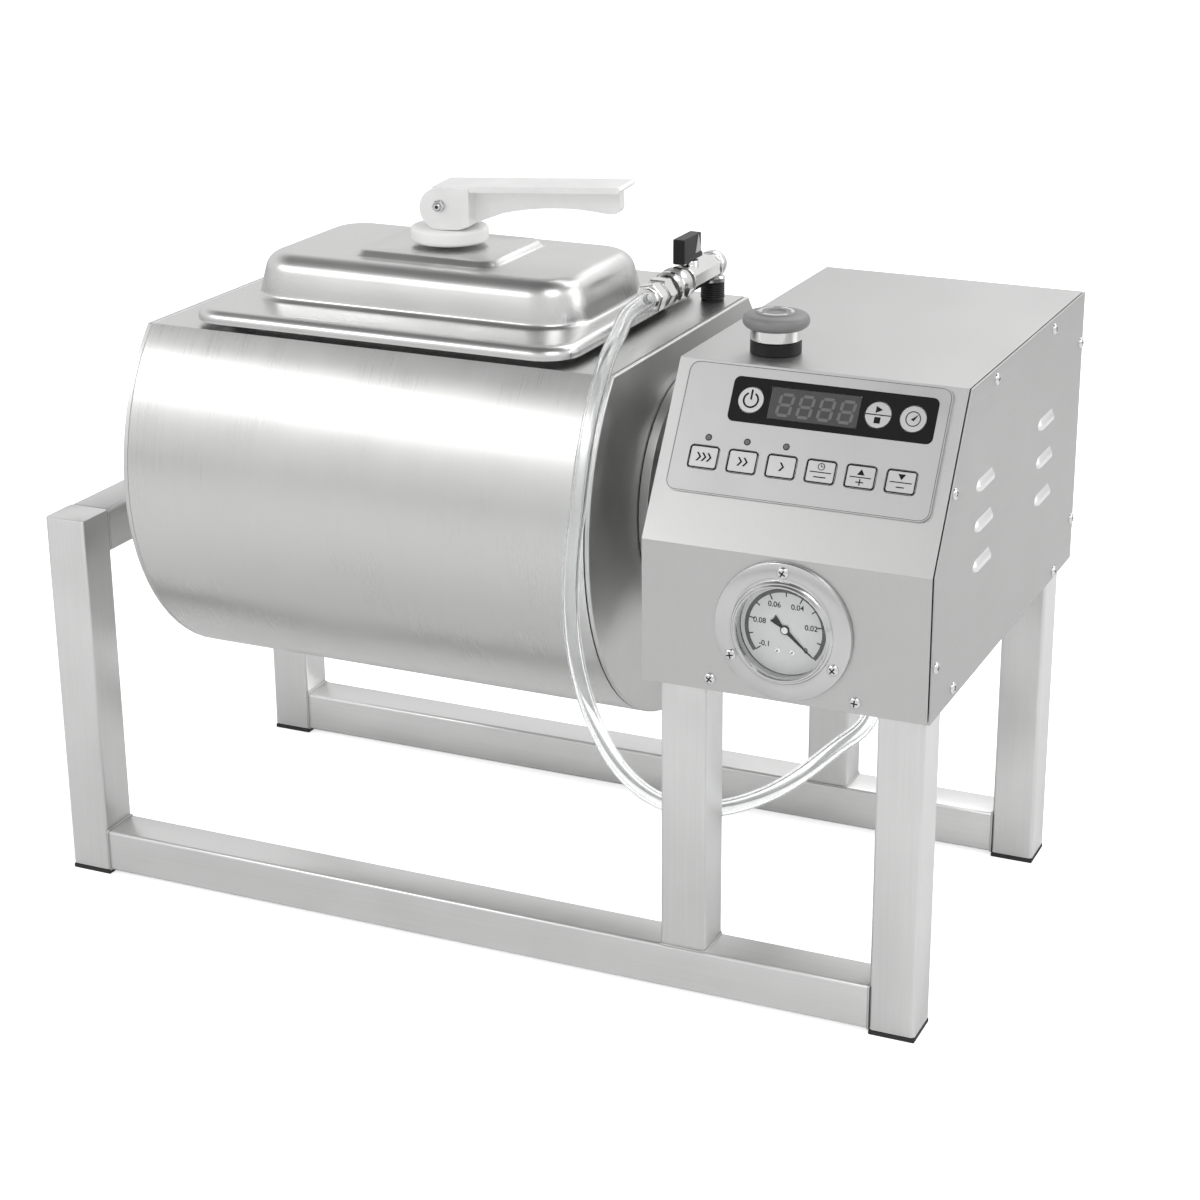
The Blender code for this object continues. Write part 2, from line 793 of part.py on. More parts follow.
def lid_rings():
    """The pressed lid from the stud hole over pad, dome, flange and rim, and back along the underside."""
    top = lid_flange + sheet
    a, b = lid_half
    p, q = dome_half
    u, v = pad_half
    crown = top + dome_height
    foot = dome_foot_round
    rim_low = lid_flange - lid_rim_drop

    def ring(half_x, half_y, corner, z):
        return at_height(rounded(half_x, half_y, corner), z)

    def hole(z):
        count = len(rounded(1, 1, 0.1))
        turn = math.radians(360 / count / 2)
        angles = [turn + 2 * math.pi * i / count for i in range(count)]
        return [(stud_hole * math.cos(angle), stud_hole * math.sin(angle), z) for angle in angles]

    def round_edge(radius, steps):
        """Rings down the dome's top edge, whose centre stays where the sheet bends."""
        bend = arc((-dome_round, -dome_round), radius, 90, 0, steps)
        return [ring(p + x, q + x, max(dome_corner + x, 0.001), crown + z) for x, z in bend]

    outer = [
        hole(crown + pad_height),
        ring(u - 0.003, v - 0.003, pad_corner - 0.002, crown + pad_height),
        ring(u - 0.0015, v - 0.0015, pad_corner, crown + pad_height * 0.8),
        ring(u + 0.001, v + 0.001, pad_corner + 0.002, crown + pad_height * 0.15),
        ring(u + 0.003, v + 0.003, pad_corner + 0.003, crown),
        *round_edge(dome_round, 4),
        ring(p, q, dome_corner, top + foot),
        ring(p + 0.3 * foot, q + 0.3 * foot, dome_corner + 0.001, top + 0.3 * foot),
        ring(p + foot, q + foot, dome_corner + 0.002, top),
        ring(a - 0.0065, b - 0.0065, lid_corner - 0.004, top),
        ring(a - 0.0028, b - 0.0028, lid_corner - 0.002, top - 0.0008),
        ring(a - 0.0006, b - 0.0006, lid_corner, top - 0.0030),
        ring(a, b, lid_corner, top - 0.0055),
        ring(a, b, lid_corner, rim_low),
    ]
    t = sheet
    under = [
        ring(a - t, b - t, lid_corner - t, rim_low),
        ring(a - t, b - t, lid_corner - t, top - 0.0060),
        ring(a - 0.0040, b - 0.0040, lid_corner - 0.003, top - 0.0022),
        ring(a - 0.0070, b - 0.0070, lid_corner - 0.005, top - t),
        ring(p + foot - t, q + foot - t, dome_corner + 0.001, top - t),
        ring(p - t, q - t, dome_corner - t, top + foot - t),
        *reversed(round_edge(dome_round - t, 3)),
        ring(u + 0.002, v + 0.002, pad_corner + 0.002, crown - t),
        ring(u - 0.003, v - 0.003, pad_corner - 0.002, crown + pad_height - t),
        hole(crown + pad_height - t),
    ]
    return outer + under


def lid_and_clamp(steel, rubber, nylon, cast, stud_finish):
    """The lid, its gasket and the cam clamp that draws it down on the drum's mouth."""
    middle = place(lid_x, lid_y, 0)
    loft("lid", lid_rings(), middle, steel, closes=True)
    outer = (mouth_half[0] + 2 * collar_wall, mouth_half[1] + 2 * collar_wall)
    inside = (mouth_half[0] - gap, mouth_half[1] - gap)
    rings = [rounded(*outer, mouth_corner + collar_wall), rounded(*inside, mouth_corner)]
    plate("lid_gasket", rings, collar_top + gap, collar_top + gap + gasket_height, middle, rubber)

    turned_frame = middle @ Matrix.Rotation(math.radians(lever_turn), 4, "Z")
    pad_top = lid_flange + sheet + dome_height + pad_height
    disc_low = pad_top + disc_stand
    disc_top = disc_low + disc_thickness
    r = disc_radius
    disc = [
        (stud_radius + gap, disc_top),
        (r - 0.0015, disc_top),
        (r, disc_top - 0.0015),
        (r, disc_low + 0.002),
        (r - 0.002, disc_low),
        (0.0095, disc_low),
        (0.0095, pad_top + gap),
        (stud_radius + gap, pad_top + gap),
    ]
    turned("clamp_disc", closed_ring(disc), turned_frame, nylon, steps=40)

    pivot_z = disc_top + gap + cam_radius + cam_offset
    head = pivot_z + 0.0045
    bar_top = lid_flange - collar_height - bar_drop
    bar_low = bar_top - bar_thickness
    stud = rod("clamp_stud", stud_radius, bar_low + bar_thickness / 2, head, turned_frame, stud_finish, 24)
    half = (bar_length / 2, bar_width / 2)
    bar_outline = rounded(*half, bar_width / 2 - 0.001, 4)
    join(stud, plate("clamp_bar", [bar_outline], bar_low, bar_top, turned_frame, None))
    cross = turned_frame @ place(0, 0, pivot_z, TO_FRONT)
    cut(stud, rod("pin_bore", pin_radius + gap, -0.02, 0.02, cross, None, 20))
    pin_half = lever_half_width + 0.003
    pin = [
        (0, pin_half),
        (pin_radius, pin_half),
        (pin_radius, -pin_half - 0.001),
        (0, -pin_half - 0.001),
    ]
    turned("pivot_pin", pin, cross, stud_finish, steps=16)
    lever(cross, cast)


def lever(cross, cast):
    """The cast lever: two cam cheeks astride the stud, a T-shaped arm with a hollowed underside."""
    rise = Matrix.Rotation(math.radians(lever_rise), 4, "Z")
    cheek_right = 0.0185
    top = 0.0112
    cheek = [
        *arc((0, -cam_offset), cam_radius, 100, 270, 18),
        (0.012, -cam_offset - cam_radius + 0.0006),
        (cheek_right, -cam_offset - cam_radius + 0.0030),
        (cheek_right, top),
    ]
    w = lever_half_width
    body = plate("cam_lever", [cheek], -w, w, cross, cast)
    slot_half = stud_radius + 2 * gap
    slot_low = (-cam_radius * 2, -cam_radius * 2, -slot_half)
    slot_high = (stud_radius + 0.004, top - arm_flange, slot_half)
    tip = arm_length
    flange_low = top - arm_flange
    root, waist, end = flange_low - arm_root_depth, flange_low - arm_waist_depth, flange_low - arm_tip_depth
    hollow_start, hollow_end = tip * 0.33, tip * 0.93
    sag = waist - end
    hollow = (hollow_end - hollow_start) / 2
    bend = (hollow**2 + sag**2) / (2 * sag)
    sweep = math.degrees(math.asin(hollow / bend))
    underside = arc(((hollow_start + hollow_end) / 2, waist - bend), bend, 90 + sweep, 90 - sweep, 8)
    corner = arc((tip - 0.004, end + 0.004), 0.004, -90, 0, 4)
    web = [(0.010, top - 0.001), (0.010, root), (cheek_right + 0.002, root + 0.001), *underside, *corner]
    web.append((tip, top - 0.001))
    join(body, plate("lever_web", [web], -0.0045, 0.0045, cross @ rise, None))
    flange = [
        (-0.004, top - arm_flange),
        (tip + 0.003, top - arm_flange),
        (tip + 0.004, top - arm_flange * 0.5),
        (tip + 0.003, top),
        (-0.004, top),
    ]
    join(body, plate("lever_flange", [flange], -w + 0.0008, w - 0.0008, cross @ rise, None))
    cut(body, block("lever_slot", slot_low, slot_high, None, cross))
    through = 2 * lever_half_width
    cut(body, rod("lever_pin_hole", pin_radius + gap, -through, through, cross, None, 20))


def hexagon(flats):
    return circle(flats / math.sqrt(3), 6)


def valve(chrome, black, dark):
    """A threaded socket, an elbow with a small ball valve, its handle and the quick coupling for the hose."""
    x, y = valve_x, axis_y + valve_back
    z = flat_z + valve_height
    socket_top = flat_z + gap + socket_height
    rod("valve_socket", socket_radius, flat_z + gap, socket_top, place(x, y, 0), dark, 24)
    upright = place(x, y, 0)
    body = rod("valve_body", elbow_radius, socket_top + gap, z + elbow_radius * 0.95, upright, chrome, 24)
    forward = place(x, y, z, TO_FRONT)
    front = y - (axis_y + valve_body_front + 0.023)
    join(body, plate("valve_hex", [hexagon(valve_flats)], -0.004, front, forward, None))
    nose = front + sleeve_length + sleeve_travel + 0.004
    join(body, rod("valve_nose", coupling_radius, front - 0.001, nose, forward, None, 24))
    stem_y = y - stem_back
    stem = place(x, stem_y, 0)
    seat = z + valve_flats / 2
    join(body, rod("stem_boss", 0.0055, z, seat + 0.002, stem, None, 16))
    handle_low = seat + 0.002 + gap
    half = (handle_width / 2, handle_length / 2)
    handle = plate(
        "valve_handle",
        [rounded(*half, 0.001, 1, (0, -0.003))],
        handle_low,
        handle_low + handle_height,
        stem,
        black,
    )
    wing = [(-0.003, 0.0), (0.003, 0.0), (0.0025, 0.012), (-0.0025, 0.012)]
    notch = place(x - handle_width, stem_y + 0.012, handle_low + handle_height, ((0, -1, 0), (0, 0, -1), (1, 0, 0)))
    cut(handle, plate("handle_notch", [wing], 0, 2 * handle_width, notch, None))

    sleeve_back = front + sleeve_travel + gap
    s0, s1 = sleeve_back, sleeve_back + sleeve_length
    bore = coupling_radius + gap
    sleeve = [
        (bore, s1),
        (sleeve_radius - 0.0014, s1),
        (sleeve_radius - 0.0004, s1 - 0.001),
        (sleeve_radius - 0.0004, s1 - 0.0045),
        (sleeve_radius - 0.0016, s1 - 0.0055),
        (sleeve_radius - 0.0016, s1 - 0.0095),
        (sleeve_radius, s1 - 0.0105),
        (sleeve_radius, s0 + 0.0025),
        (sleeve_radius - 0.0012, s0 + 0.0015),
        (sleeve_radius - 0.0012, s0),
        (bore, s0),
    ]
    turned("coupler_sleeve", closed_ring(sleeve), forward, chrome, steps=32)

    tail_back = max(s1, nose) + gap
    tail = plate("hose_tail", [hexagon(tail_flats)], tail_back, tail_back + 0.009, forward, chrome)
    end = tail_back + 0.024
    join(tail, rod("tail_neck", 0.0068, tail_back + 0.008, tail_back + 0.013, forward, None, 20))
    join(tail, plate("tail_nut", [hexagon(tail_flats * 0.94)], tail_back + 0.012, end, forward, None))
    return y - end


def hose_points(start_y):
    """The hose's route, from the tail on the coupling to the fitting under the housing."""
    x, z = valve_x, flat_z + valve_height
    fitting = hose_fitting_place().translation

    def over_drum(inset, angle, clear):
        """A point off the drum's face, at an angle from the top towards the front."""
        reach = drum_radius + clear
        turn = math.radians(angle)
        return (drum_right - inset, axis_y - reach * math.sin(turn), axis_z + reach * math.cos(turn))

    def before_fitting(left, front, down):
        return (fitting.x - left, fitting.y - front, housing_bottom - down)

    return [
        (x, start_y - gap, z),
        (x, start_y - 0.0120, z - 0.0003),
        (x + 0.0006, start_y - 0.0270, z - 0.0016),
        over_drum(0.0138, 27.8, -0.0115),
        over_drum(0.0095, 35.2, -0.0053),
        over_drum(0.0070, 42.2, 0.0013),
        over_drum(0.0038, 49.0, 0.0073),
        over_drum(0.0020, 55.9, 0.0115),
        over_drum(0.0014, 62.9, 0.0128),
        over_drum(0.0014, 69.8, 0.0124),
        over_drum(0.0022, 77.0, 0.0112),
        over_drum(0.0040, 84.1, 0.0103),
        over_drum(0.0060, 91.6, 0.0099),
        over_drum(0.0073, 99.0, 0.0106),
        over_drum(0.0078, 106.5, 0.0123),
        over_drum(0.0077, 113.7, 0.0147),
        over_drum(0.0068, 120.6, 0.0182),
        over_drum(0.0050, 127.2, 0.0227),
        before_fitting(0.1490, 0.0420, 0.0445),
        before_fitting(0.1449, 0.0355, 0.0600),
        before_fitting(0.1387, 0.0295, 0.0735),
        before_fitting(0.1302, 0.0245, 0.0840),
        before_fitting(0.1197, 0.0205, 0.0910),
        before_fitting(0.1077, 0.0175, 0.0940),
        before_fitting(0.0947, 0.0152, 0.0935),
        before_fitting(0.0817, 0.0133, 0.0902),
        before_fitting(0.0692, 0.0117, 0.0850),
        before_fitting(0.0572, 0.0102, 0.0783),
        before_fitting(0.0460, 0.0088, 0.0702),
        before_fitting(0.0357, 0.0073, 0.0613),
        before_fitting(0.0262, 0.0058, 0.0520),
        before_fitting(0.0169, 0.0040, 0.0430),
        before_fitting(0.0080, 0.0018, 0.0358),
        before_fitting(0.0020, 0.0004, 0.0265),
        before_fitting(0, 0, 0.0170),
        before_fitting(0, 0, fitting_collar - fitting_socket + 3 * gap),
    ]


def smooth_route(points, spacing):
    """Points a given distance apart on a smooth curve through the route."""
    route = [Vector(p) for p in points]
    padded = [2 * route[0] - route[1], *route, 2 * route[-1] - route[-2]]
    fine = [route[0]]
    for a, b, c, d in zip(padded, padded[1:], padded[2:], padded[3:]):
        for i in range(1, 9):
            t = i / 8
            fine.append(
                0.5 * (2 * b + (c - a) * t + (2 * a - 5 * b + 4 * c - d) * t**2 + (3 * b - a - 3 * c + d) * t**3)
            )
    total = sum((q - p).length for p, q in zip(fine, fine[1:]))
    count = round(total / spacing)
    kept, walked, step = [fine[0]], 0.0, total / count
    for p, q in zip(fine, fine[1:]):
        length = (q - p).length
        while length and walked + length >= step * len(kept) and len(kept) < count:
            kept.append(p.lerp(q, (step * len(kept) - walked) / length))
        walked += length
    return [*kept, fine[-1]]


def hose(start_y, clear):
    curve = bpy.data.curves.new("vacuum_hose", "CURVE")
    curve.dimensions = "3D"
    curve.bevel_depth = hose_radius
    curve.bevel_resolution = 2
    curve.use_fill_caps = True
    points = smooth_route(hose_points(start_y), 2.4 * 2 * hose_radius)
    spline = curve.splines.new("POLY")
    spline.points.add(len(points) - 1)
    for point, co in zip(spline.points, points):
        point.co = (*co, 1)
    obj = bpy.data.objects.new("vacuum_hose", curve)
    parts.objects.link(obj)
    curve.materials.append(clear)


def hose_fitting_place():
    return place(housing_left + fitting_along, housing_front + fitting_back, housing_bottom)


def inside_housing(dark, cast, brass, case, black):
    """What the closed housing holds: the gear motor on its bracket, the vacuum pump and the supply."""
    floor = housing_bottom + sheet + gap
    plate_left = housing_left + sheet + 2 * gap
    across = place(0, axis_y, axis_z, ALONG_X)
    half = bracket_half
    low, high = floor - axis_z, bracket_top
    outline = [(half, low), (half, high), (-half, high), (-half, low)]
    bore = circle(drive_hub_radius + 0.002, 32)
    wall_x = plate_left + 0.004
    bracket = plate("motor_bracket", [outline, bore], wall_x - 0.0005, wall_x + bracket_plate - 0.0008, across, cast)
    foot_low = (wall_x, axis_y - half, floor)
    foot_high = (wall_x + bracket_foot, axis_y + half, floor + bracket_plate)
    join(bracket, block("bracket_foot", foot_low, foot_high, None))
    box_x = gearbox_left() + 0.0008
    gx, gy, gz = gearbox_size
    low = (box_x, axis_y - gy / 2, axis_z - gz / 2)
    high = (box_x + gx, axis_y + gy / 2, axis_z + gz / 2)
    box = block("gearbox", low, high, cast)
    cut(box, rod("gearbox_bore", shaft_radius + gap, -0.01, gx * 0.85, drum_axis_place(box_x), None, 32))
    motor_x = box_x + gx + gap
    motor = rod("drive_motor", motor_radius, 0, motor_length, drum_axis_place(motor_x), dark, 32)
    join(motor, rod("motor_cap", motor_radius * 0.7, motor_length - 0.001, motor_length + 0.004, drum_axis_place(motor_x), None))

    pump_right = housing_right - pump_side_room
    head_left = pump_right - pump_head_length
    pump_left = head_left + pump_lap - pump_length
    pump_y = housing_back - pump_back_room - pump_radius
    pump_frame = place(pump_left, pump_y, floor + pump_radius, ALONG_X)
    pump = rod("vacuum_pump", pump_radius, 0, pump_length, pump_frame, dark, 28)
    head_low = (head_left, pump_y - pump_radius, floor)
    head_high = (pump_right, pump_y + pump_radius, floor + 2 * pump_radius + pump_head_rise)
    join(pump, block("pump_head", head_low, head_high, None))
    supply_low = (housing_left + supply_room, axis_y + bracket_half + supply_back_room, floor)
    supply_high = (pump_left - unit_clearance, housing_back - supply_back_room, floor + supply_height)
    block("power_supply", supply_low, supply_high, case)

    where = place(housing_left + gland_along, housing_back, housing_bottom + gland_up, TO_BACK)
    reach = gland_length
    gland = [
        (0.0035, reach),
        (0.0065, reach),
        (0.0085, reach - 0.0035),
        (0.0085, reach - 0.0100),
        (0.0105, reach - 0.0105),
        (0.0105, gap),
        (0.0080, gap),
        (0.0080, -0.009),
        (0.0035, -0.009),
    ]
    turned("cable_gland", closed_ring(gland), where, black, steps=24)

    under = hose_fitting_place()
    barb = [
        (0, 0.009),
        (0.0060, 0.009),
        (0.0060, -gap),
        (0.0090, -gap),
        (0.0090, -fitting_collar),
        (hose_radius + 2 * gap, -fitting_collar),
        (hose_radius + 2 * gap, fitting_socket - fitting_collar),
        (0, fitting_socket - fitting_collar),
    ]
    turned("hose_fitting", barb, under, brass, steps=20)


def build():
    start_scene()
    brushed = material("brushed_steel", (0.62, 0.62, 0.61), 0.32, 1.0)
    satin = material("satin_steel", (0.56, 0.56, 0.55), 0.38, 1.0)
    chrome = material("chrome", (0.80, 0.80, 0.80), 0.12, 1.0)
    cast = material("cast_aluminium", (0.72, 0.72, 0.71), 0.35, 1.0)
    bronze = material("bronze", (0.55, 0.38, 0.17), 0.4, 1.0)
    rubber = material("black_rubber", (0.02, 0.02, 0.02), 0.8, 0.0)
    silicone = material("silicone", (0.10, 0.10, 0.10), 0.6, 0.0)
    nylon = material("white_nylon", (0.83, 0.83, 0.82), 0.45, 0.0)
    black = material("black_plastic", (0.015, 0.015, 0.016), 0.4, 0.0)
    stop_grey = material("grey_plastic", (0.20, 0.20, 0.20), 0.4, 0.0)
    membrane = material("grey_membrane", (0.58, 0.58, 0.58), 0.45, 0.0)
    key_finish = material("key_membrane", (0.66, 0.66, 0.66), 0.4, 0.0)
    glass = material("dark_window", (0.02, 0.02, 0.022), 0.1, 0.0)
    clear = material("clear_plastic", (0.80, 0.82, 0.82), 0.08, 0.0)
    white = material("white_dial", (0.80, 0.80, 0.80), 0.5, 0.0)
    green = material("circuit_board", (0.02, 0.14, 0.05), 0.5, 0.0)
    dark = material("black_steel", (0.03, 0.03, 0.03), 0.45, 0.6)

    stand(satin, rubber)
    housing(brushed, satin)
    control_face(membrane, key_finish, glass, green)
    gauge(chrome, white, black, clear)
    emergency_stop(black, stop_grey)
    bearing(cast, bronze)
    drum(brushed, dark)
    lid_and_clamp(brushed, silicone, nylon, cast, chrome)
    start_y = valve(chrome, black, dark)
    hose(start_y, clear)
    inside_housing(dark, cast, bronze, satin, black)

    drum_axis = empty("drum_axis", drum_axis_place(0.0))
    for name in drum_pieces:
        hang(parts.objects[name], drum_axis)


build()
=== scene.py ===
"""Bench-top vacuum tumbler for meat, dressed for a catalogue picture.

The machine is put together here in the order of the workshop: stand, bearing, drum, lid and clamp, valve and
hose, then the control housing with everything on it. All lengths are in metres."""

import math

import bmesh
import bpy
from mathutils import Matrix, Vector, geometry


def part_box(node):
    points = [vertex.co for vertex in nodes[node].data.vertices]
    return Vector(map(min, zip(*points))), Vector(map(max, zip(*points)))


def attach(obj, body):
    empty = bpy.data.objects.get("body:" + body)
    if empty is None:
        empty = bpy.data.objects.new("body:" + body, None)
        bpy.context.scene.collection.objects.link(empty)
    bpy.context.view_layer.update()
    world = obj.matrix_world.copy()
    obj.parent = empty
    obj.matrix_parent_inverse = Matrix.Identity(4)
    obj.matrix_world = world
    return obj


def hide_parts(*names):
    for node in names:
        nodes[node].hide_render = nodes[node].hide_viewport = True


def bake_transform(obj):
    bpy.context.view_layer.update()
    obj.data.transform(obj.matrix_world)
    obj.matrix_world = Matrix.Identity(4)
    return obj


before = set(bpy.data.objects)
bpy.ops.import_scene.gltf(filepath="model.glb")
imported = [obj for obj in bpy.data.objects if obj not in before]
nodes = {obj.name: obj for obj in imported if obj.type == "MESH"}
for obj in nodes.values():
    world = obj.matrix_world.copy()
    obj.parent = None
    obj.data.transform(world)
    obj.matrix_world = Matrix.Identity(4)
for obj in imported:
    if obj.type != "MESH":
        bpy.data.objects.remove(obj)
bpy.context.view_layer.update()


# The picture is taken from the front, a little to the right and from above, with a long lens on a square
# frame, as a catalogue shows a machine of this kind.

picture_side = 1200
camera_at = Vector((0.633078, -1.33916, 0.721787))
camera_azimuth, camera_elevation, camera_roll = (math.radians(a) for a in (22.598, 19.572, 0.239))
camera_focal = 2538.133
camera_centre = (688.821, 559.399)

lens = bpy.data.cameras.new("catalogue_lens")
lens.sensor_width = 36.0
lens.lens = camera_focal / picture_side * lens.sensor_width
lens.shift_x = 0.5 - camera_centre[0] / picture_side
lens.shift_y = camera_centre[1] / picture_side - 0.5
lens.clip_start = 0.05
camera = bpy.data.objects.new("catalogue_camera", lens)
towards = Vector((math.sin(camera_azimuth), -math.cos(camera_azimuth), 0.0))
backwards = towards * math.cos(camera_elevation) + Vector((0.0, 0.0, math.sin(camera_elevation)))
level = Vector((math.cos(camera_azimuth), math.sin(camera_azimuth), 0.0))
upright = backwards.cross(level)
right = level * math.cos(camera_roll) + upright * math.sin(camera_roll)
up = upright * math.cos(camera_roll) - level * math.sin(camera_roll)
camera.matrix_world = Matrix.Translation(camera_at) @ Matrix((right, up, backwards)).transposed().to_4x4()
bpy.context.scene.collection.objects.link(camera)
bpy.context.scene.camera = camera
bpy.context.scene.view_settings.view_transform = "Standard"


# The floor is matt white paper under a large soft lamp in front, a smaller one on the right and a pale room,
# so that the steel shows a bright front, a quieter ceiling and a soft shadow under the stand.

floor_half = 14.0
paper_white = 0.92
lamps = (
    ("front_lamp", (-1.66, -1.90, 1.78), (1.9, 0.58), 15.0),
    ("back_lamp", (0.50, 1.50, 2.10), (1.8, 1.2), 17.0),
    ("right_lamp", (2.2, 0.9, 1.3), (1.2, 1.6), 10.0),
    ("fill_lamp", (1.4, -1.3, 2.3), (1.2, 1.2), 17.0),
)


def shader_of(name):
    """A new node material and its tree, its Principled shader and its output."""
    material = bpy.data.materials.new(name)
    material.use_nodes = True
    tree = material.node_tree
    return material, tree, tree.nodes["Principled BSDF"], tree.nodes["Material Output"]


def wire(tree, kind, inputs=None, **settings):
    """A node of that kind; its inputs are values or sockets by name or number."""
    node = tree.nodes.new("ShaderNode" + kind)
    for key, value in settings.items():
        setattr(node, key, value)
    for key, value in (inputs or {}).items():
        if isinstance(value, bpy.types.NodeSocket):
            tree.links.new(value, node.inputs[key])
        else:
            node.inputs[key].default_value = value
    return node


def seen_directly(tree):
    """1 for camera and transmission rays, 0 for the rest."""
    rays = wire(tree, "LightPath")
    seen, through = rays.outputs["Is Camera Ray"], rays.outputs["Is Transmission Ray"]
    return wire(tree, "Math", {0: seen, 1: through}, operation="MAXIMUM").outputs[0]


paper, tree, shader, out = shader_of("white_paper")
shader.inputs["Base Color"].default_value = (paper_white, paper_white, paper_white, 1)
shader.inputs["Roughness"].default_value = 0.9
shader.inputs["Specular IOR Level"].default_value = 0.2
glow = wire(tree, "Emission", {"Color": (1, 1, 1, 1), "Strength": 0.65})
lift = wire(tree, "AddShader", {0: shader.outputs[0], 1: glow.outputs[0]})
paper_mix = wire(tree, "MixShader", {0: seen_directly(tree), 1: shader.outputs[0], 2: lift.outputs[0]})
tree.links.new(paper_mix.outputs[0], out.inputs["Surface"])

floor_mesh = bpy.data.meshes.new("floor")
floor_mesh.from_pydata([(x, y, 0) for x, y in ((-1, -1), (1, -1), (1, 1), (-1, 1))], [], [(0, 1, 2, 3)])
floor_mesh.transform(Matrix.Diagonal((floor_half, floor_half, 1, 1)))
floor_mesh.materials.append(paper)
floor = bpy.data.objects.new("floor", floor_mesh)
bpy.context.scene.collection.objects.link(floor)

room = bpy.data.worlds.new("pale_room")
room.use_nodes = True
tree = room.node_tree
heading = wire(tree, "TexCoord")
height = wire(tree, "SeparateXYZ", {0: heading.outputs["Generated"]})
from_below = wire(tree, "MapRange", {0: height.outputs["Z"], 1: -1.0, 2: 1.0})
walls = wire(tree, "ValToRGB", {0: from_below.outputs[0]})
ramp = walls.color_ramp
ramp.elements[0].position, ramp.elements[0].color = 0.0, (0.80, 0.80, 0.80, 1)
ramp.elements[1].position, ramp.elements[1].color = 1.0, (0.16, 0.16, 0.16, 1)
for place, grey in ((0.52, 0.86), (0.64, 0.93), (0.69, 1.0), (0.78, 0.86), (0.86, 0.50), (0.93, 0.22)):
    step = ramp.elements.new(place)
    step.color = (grey, grey, grey, 1)
seen = wire(tree, "Mix", {0: seen_directly(tree), 6: walls.outputs[0], 7: (1, 1, 1, 1)}, data_type="RGBA")
tree.links.new(seen.outputs[2], tree.nodes["Background"].inputs["Color"])
tree.nodes["Background"].inputs["Strength"].default_value = 1.0
bpy.context.scene.world = room

for name, place, spread, power in lamps:
    lamp = bpy.data.lights.new(name, "AREA")
    lamp.shape = "RECTANGLE"
    lamp.size, lamp.size_y = spread
    lamp.energy = power
    stand_in = bpy.data.objects.new(name, lamp)
    aim = (Vector((0, -0.02, 0.2)) - Vector(place)).to_track_quat("-Z", "Y")
    stand_in.matrix_world = Matrix.Translation(place) @ aim.to_matrix().to_4x4()
    bpy.context.scene.collection.objects.link(stand_in)


# The stand is square stainless tube, mitred flush and welded: four corner legs, two middle legs, two floor
# rails and the crossbar for the drum's bearing. The seams are ground, and the tube is brushed lengthwise.

tube_corner = 0.0022
weld_radius = 0.0007
weld_proud = 0.00014
tube_grey = (0.72, 0.72, 0.717)
along_axis = {0: (9, 620, 620), 1: (620, 9, 620), 2: (620, 620, 9)}


def surface_noise(tree, scale, detail=3.0, roughness=0.6, distortion=0.0):
    """Noise in the piece's own metres, scaled along x, y and z."""
    here = wire(tree, "TexCoord").outputs["Object"]
    spread = wire(tree, "Mapping", {"Vector": here, "Scale": scale})
    inputs = {"Vector": spread.outputs[0], "Scale": 1.0, "Detail": detail, "Roughness": roughness}
    inputs["Distortion"] = distortion
    return wire(tree, "TexNoise", inputs).outputs["Fac"]


def between(tree, value, low, high, start=0.3, end=0.7):
    """Spreads a noise value from start..end to low..high."""
    return wire(tree, "MapRange", {0: value, 1: start, 2: end, 3: low, 4: high}).outputs[0]


def shade(tree, colour, value, spread):
    """The colour, lighter and darker by the spread where the value is high and low."""
    dark = tuple(c * (1 - spread) for c in colour) + (1,)
    light = tuple(min(1.0, c * (1 + spread)) for c in colour) + (1,)
    return wire(tree, "Mix", {0: value, 6: dark, 7: light}, data_type="RGBA").outputs[2]


def brushed(name, colour, grain, roughness=0.3, spread=0.06, relief=0.25):
    """Stainless steel brushed along one axis, with faint clouds where hands and cloths have been."""
    material, tree, shader, out = shader_of(name)
    lines = surface_noise(tree, grain, detail=4.0, roughness=0.7)
    clouds = surface_noise(tree, (14, 14, 14), detail=2.0)
    mixed = wire(tree, "Math", {0: lines, 1: clouds}, operation="ADD")
    half = wire(tree, "Math", {0: mixed.outputs[0], 1: 0.5}, operation="MULTIPLY").outputs[0]
    tree.links.new(shade(tree, colour, between(tree, half, 0.0, 1.0), spread), shader.inputs["Base Color"])
    tree.links.new(between(tree, half, roughness * 0.8, roughness * 1.25), shader.inputs["Roughness"])
    shader.inputs["Metallic"].default_value = 1.0
    bump = wire(tree, "Bump", {"Strength": relief, "Distance": 0.00006, "Height": lines})
    tree.links.new(bump.outputs[0], shader.inputs["Normal"])
    return material


def moulded(name, colour, roughness=0.4, grain=900, relief=0.15, spread=0.05, metallic=0.0, gloss=0.5):
    """A moulded or cast surface with a fine even grain."""
    material, tree, shader, out = shader_of(name)
    fine = surface_noise(tree, (grain,) * 3, detail=2.0)
    clouds = surface_noise(tree, (30, 30, 30), detail=3.0)
    tree.links.new(shade(tree, colour, between(tree, clouds, 0.0, 1.0), spread), shader.inputs["Base Color"])
    tree.links.new(between(tree, clouds, roughness * 0.85, roughness * 1.2), shader.inputs["Roughness"])
    shader.inputs["Specular IOR Level"].default_value = gloss
    shader.inputs["Metallic"].default_value = metallic
    bump = wire(tree, "Bump", {"Strength": relief, "Distance": 0.0001, "Height": fine})
    tree.links.new(bump.outputs[0], shader.inputs["Normal"])
    return material


def placed(name, data, where, body):
    """An object of that mesh or curve, which rides on a body."""
    made = bpy.data.objects.new(name, data)
    made.matrix_world = where
    bpy.context.scene.collection.objects.link(made)
    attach(made, body)
    return made


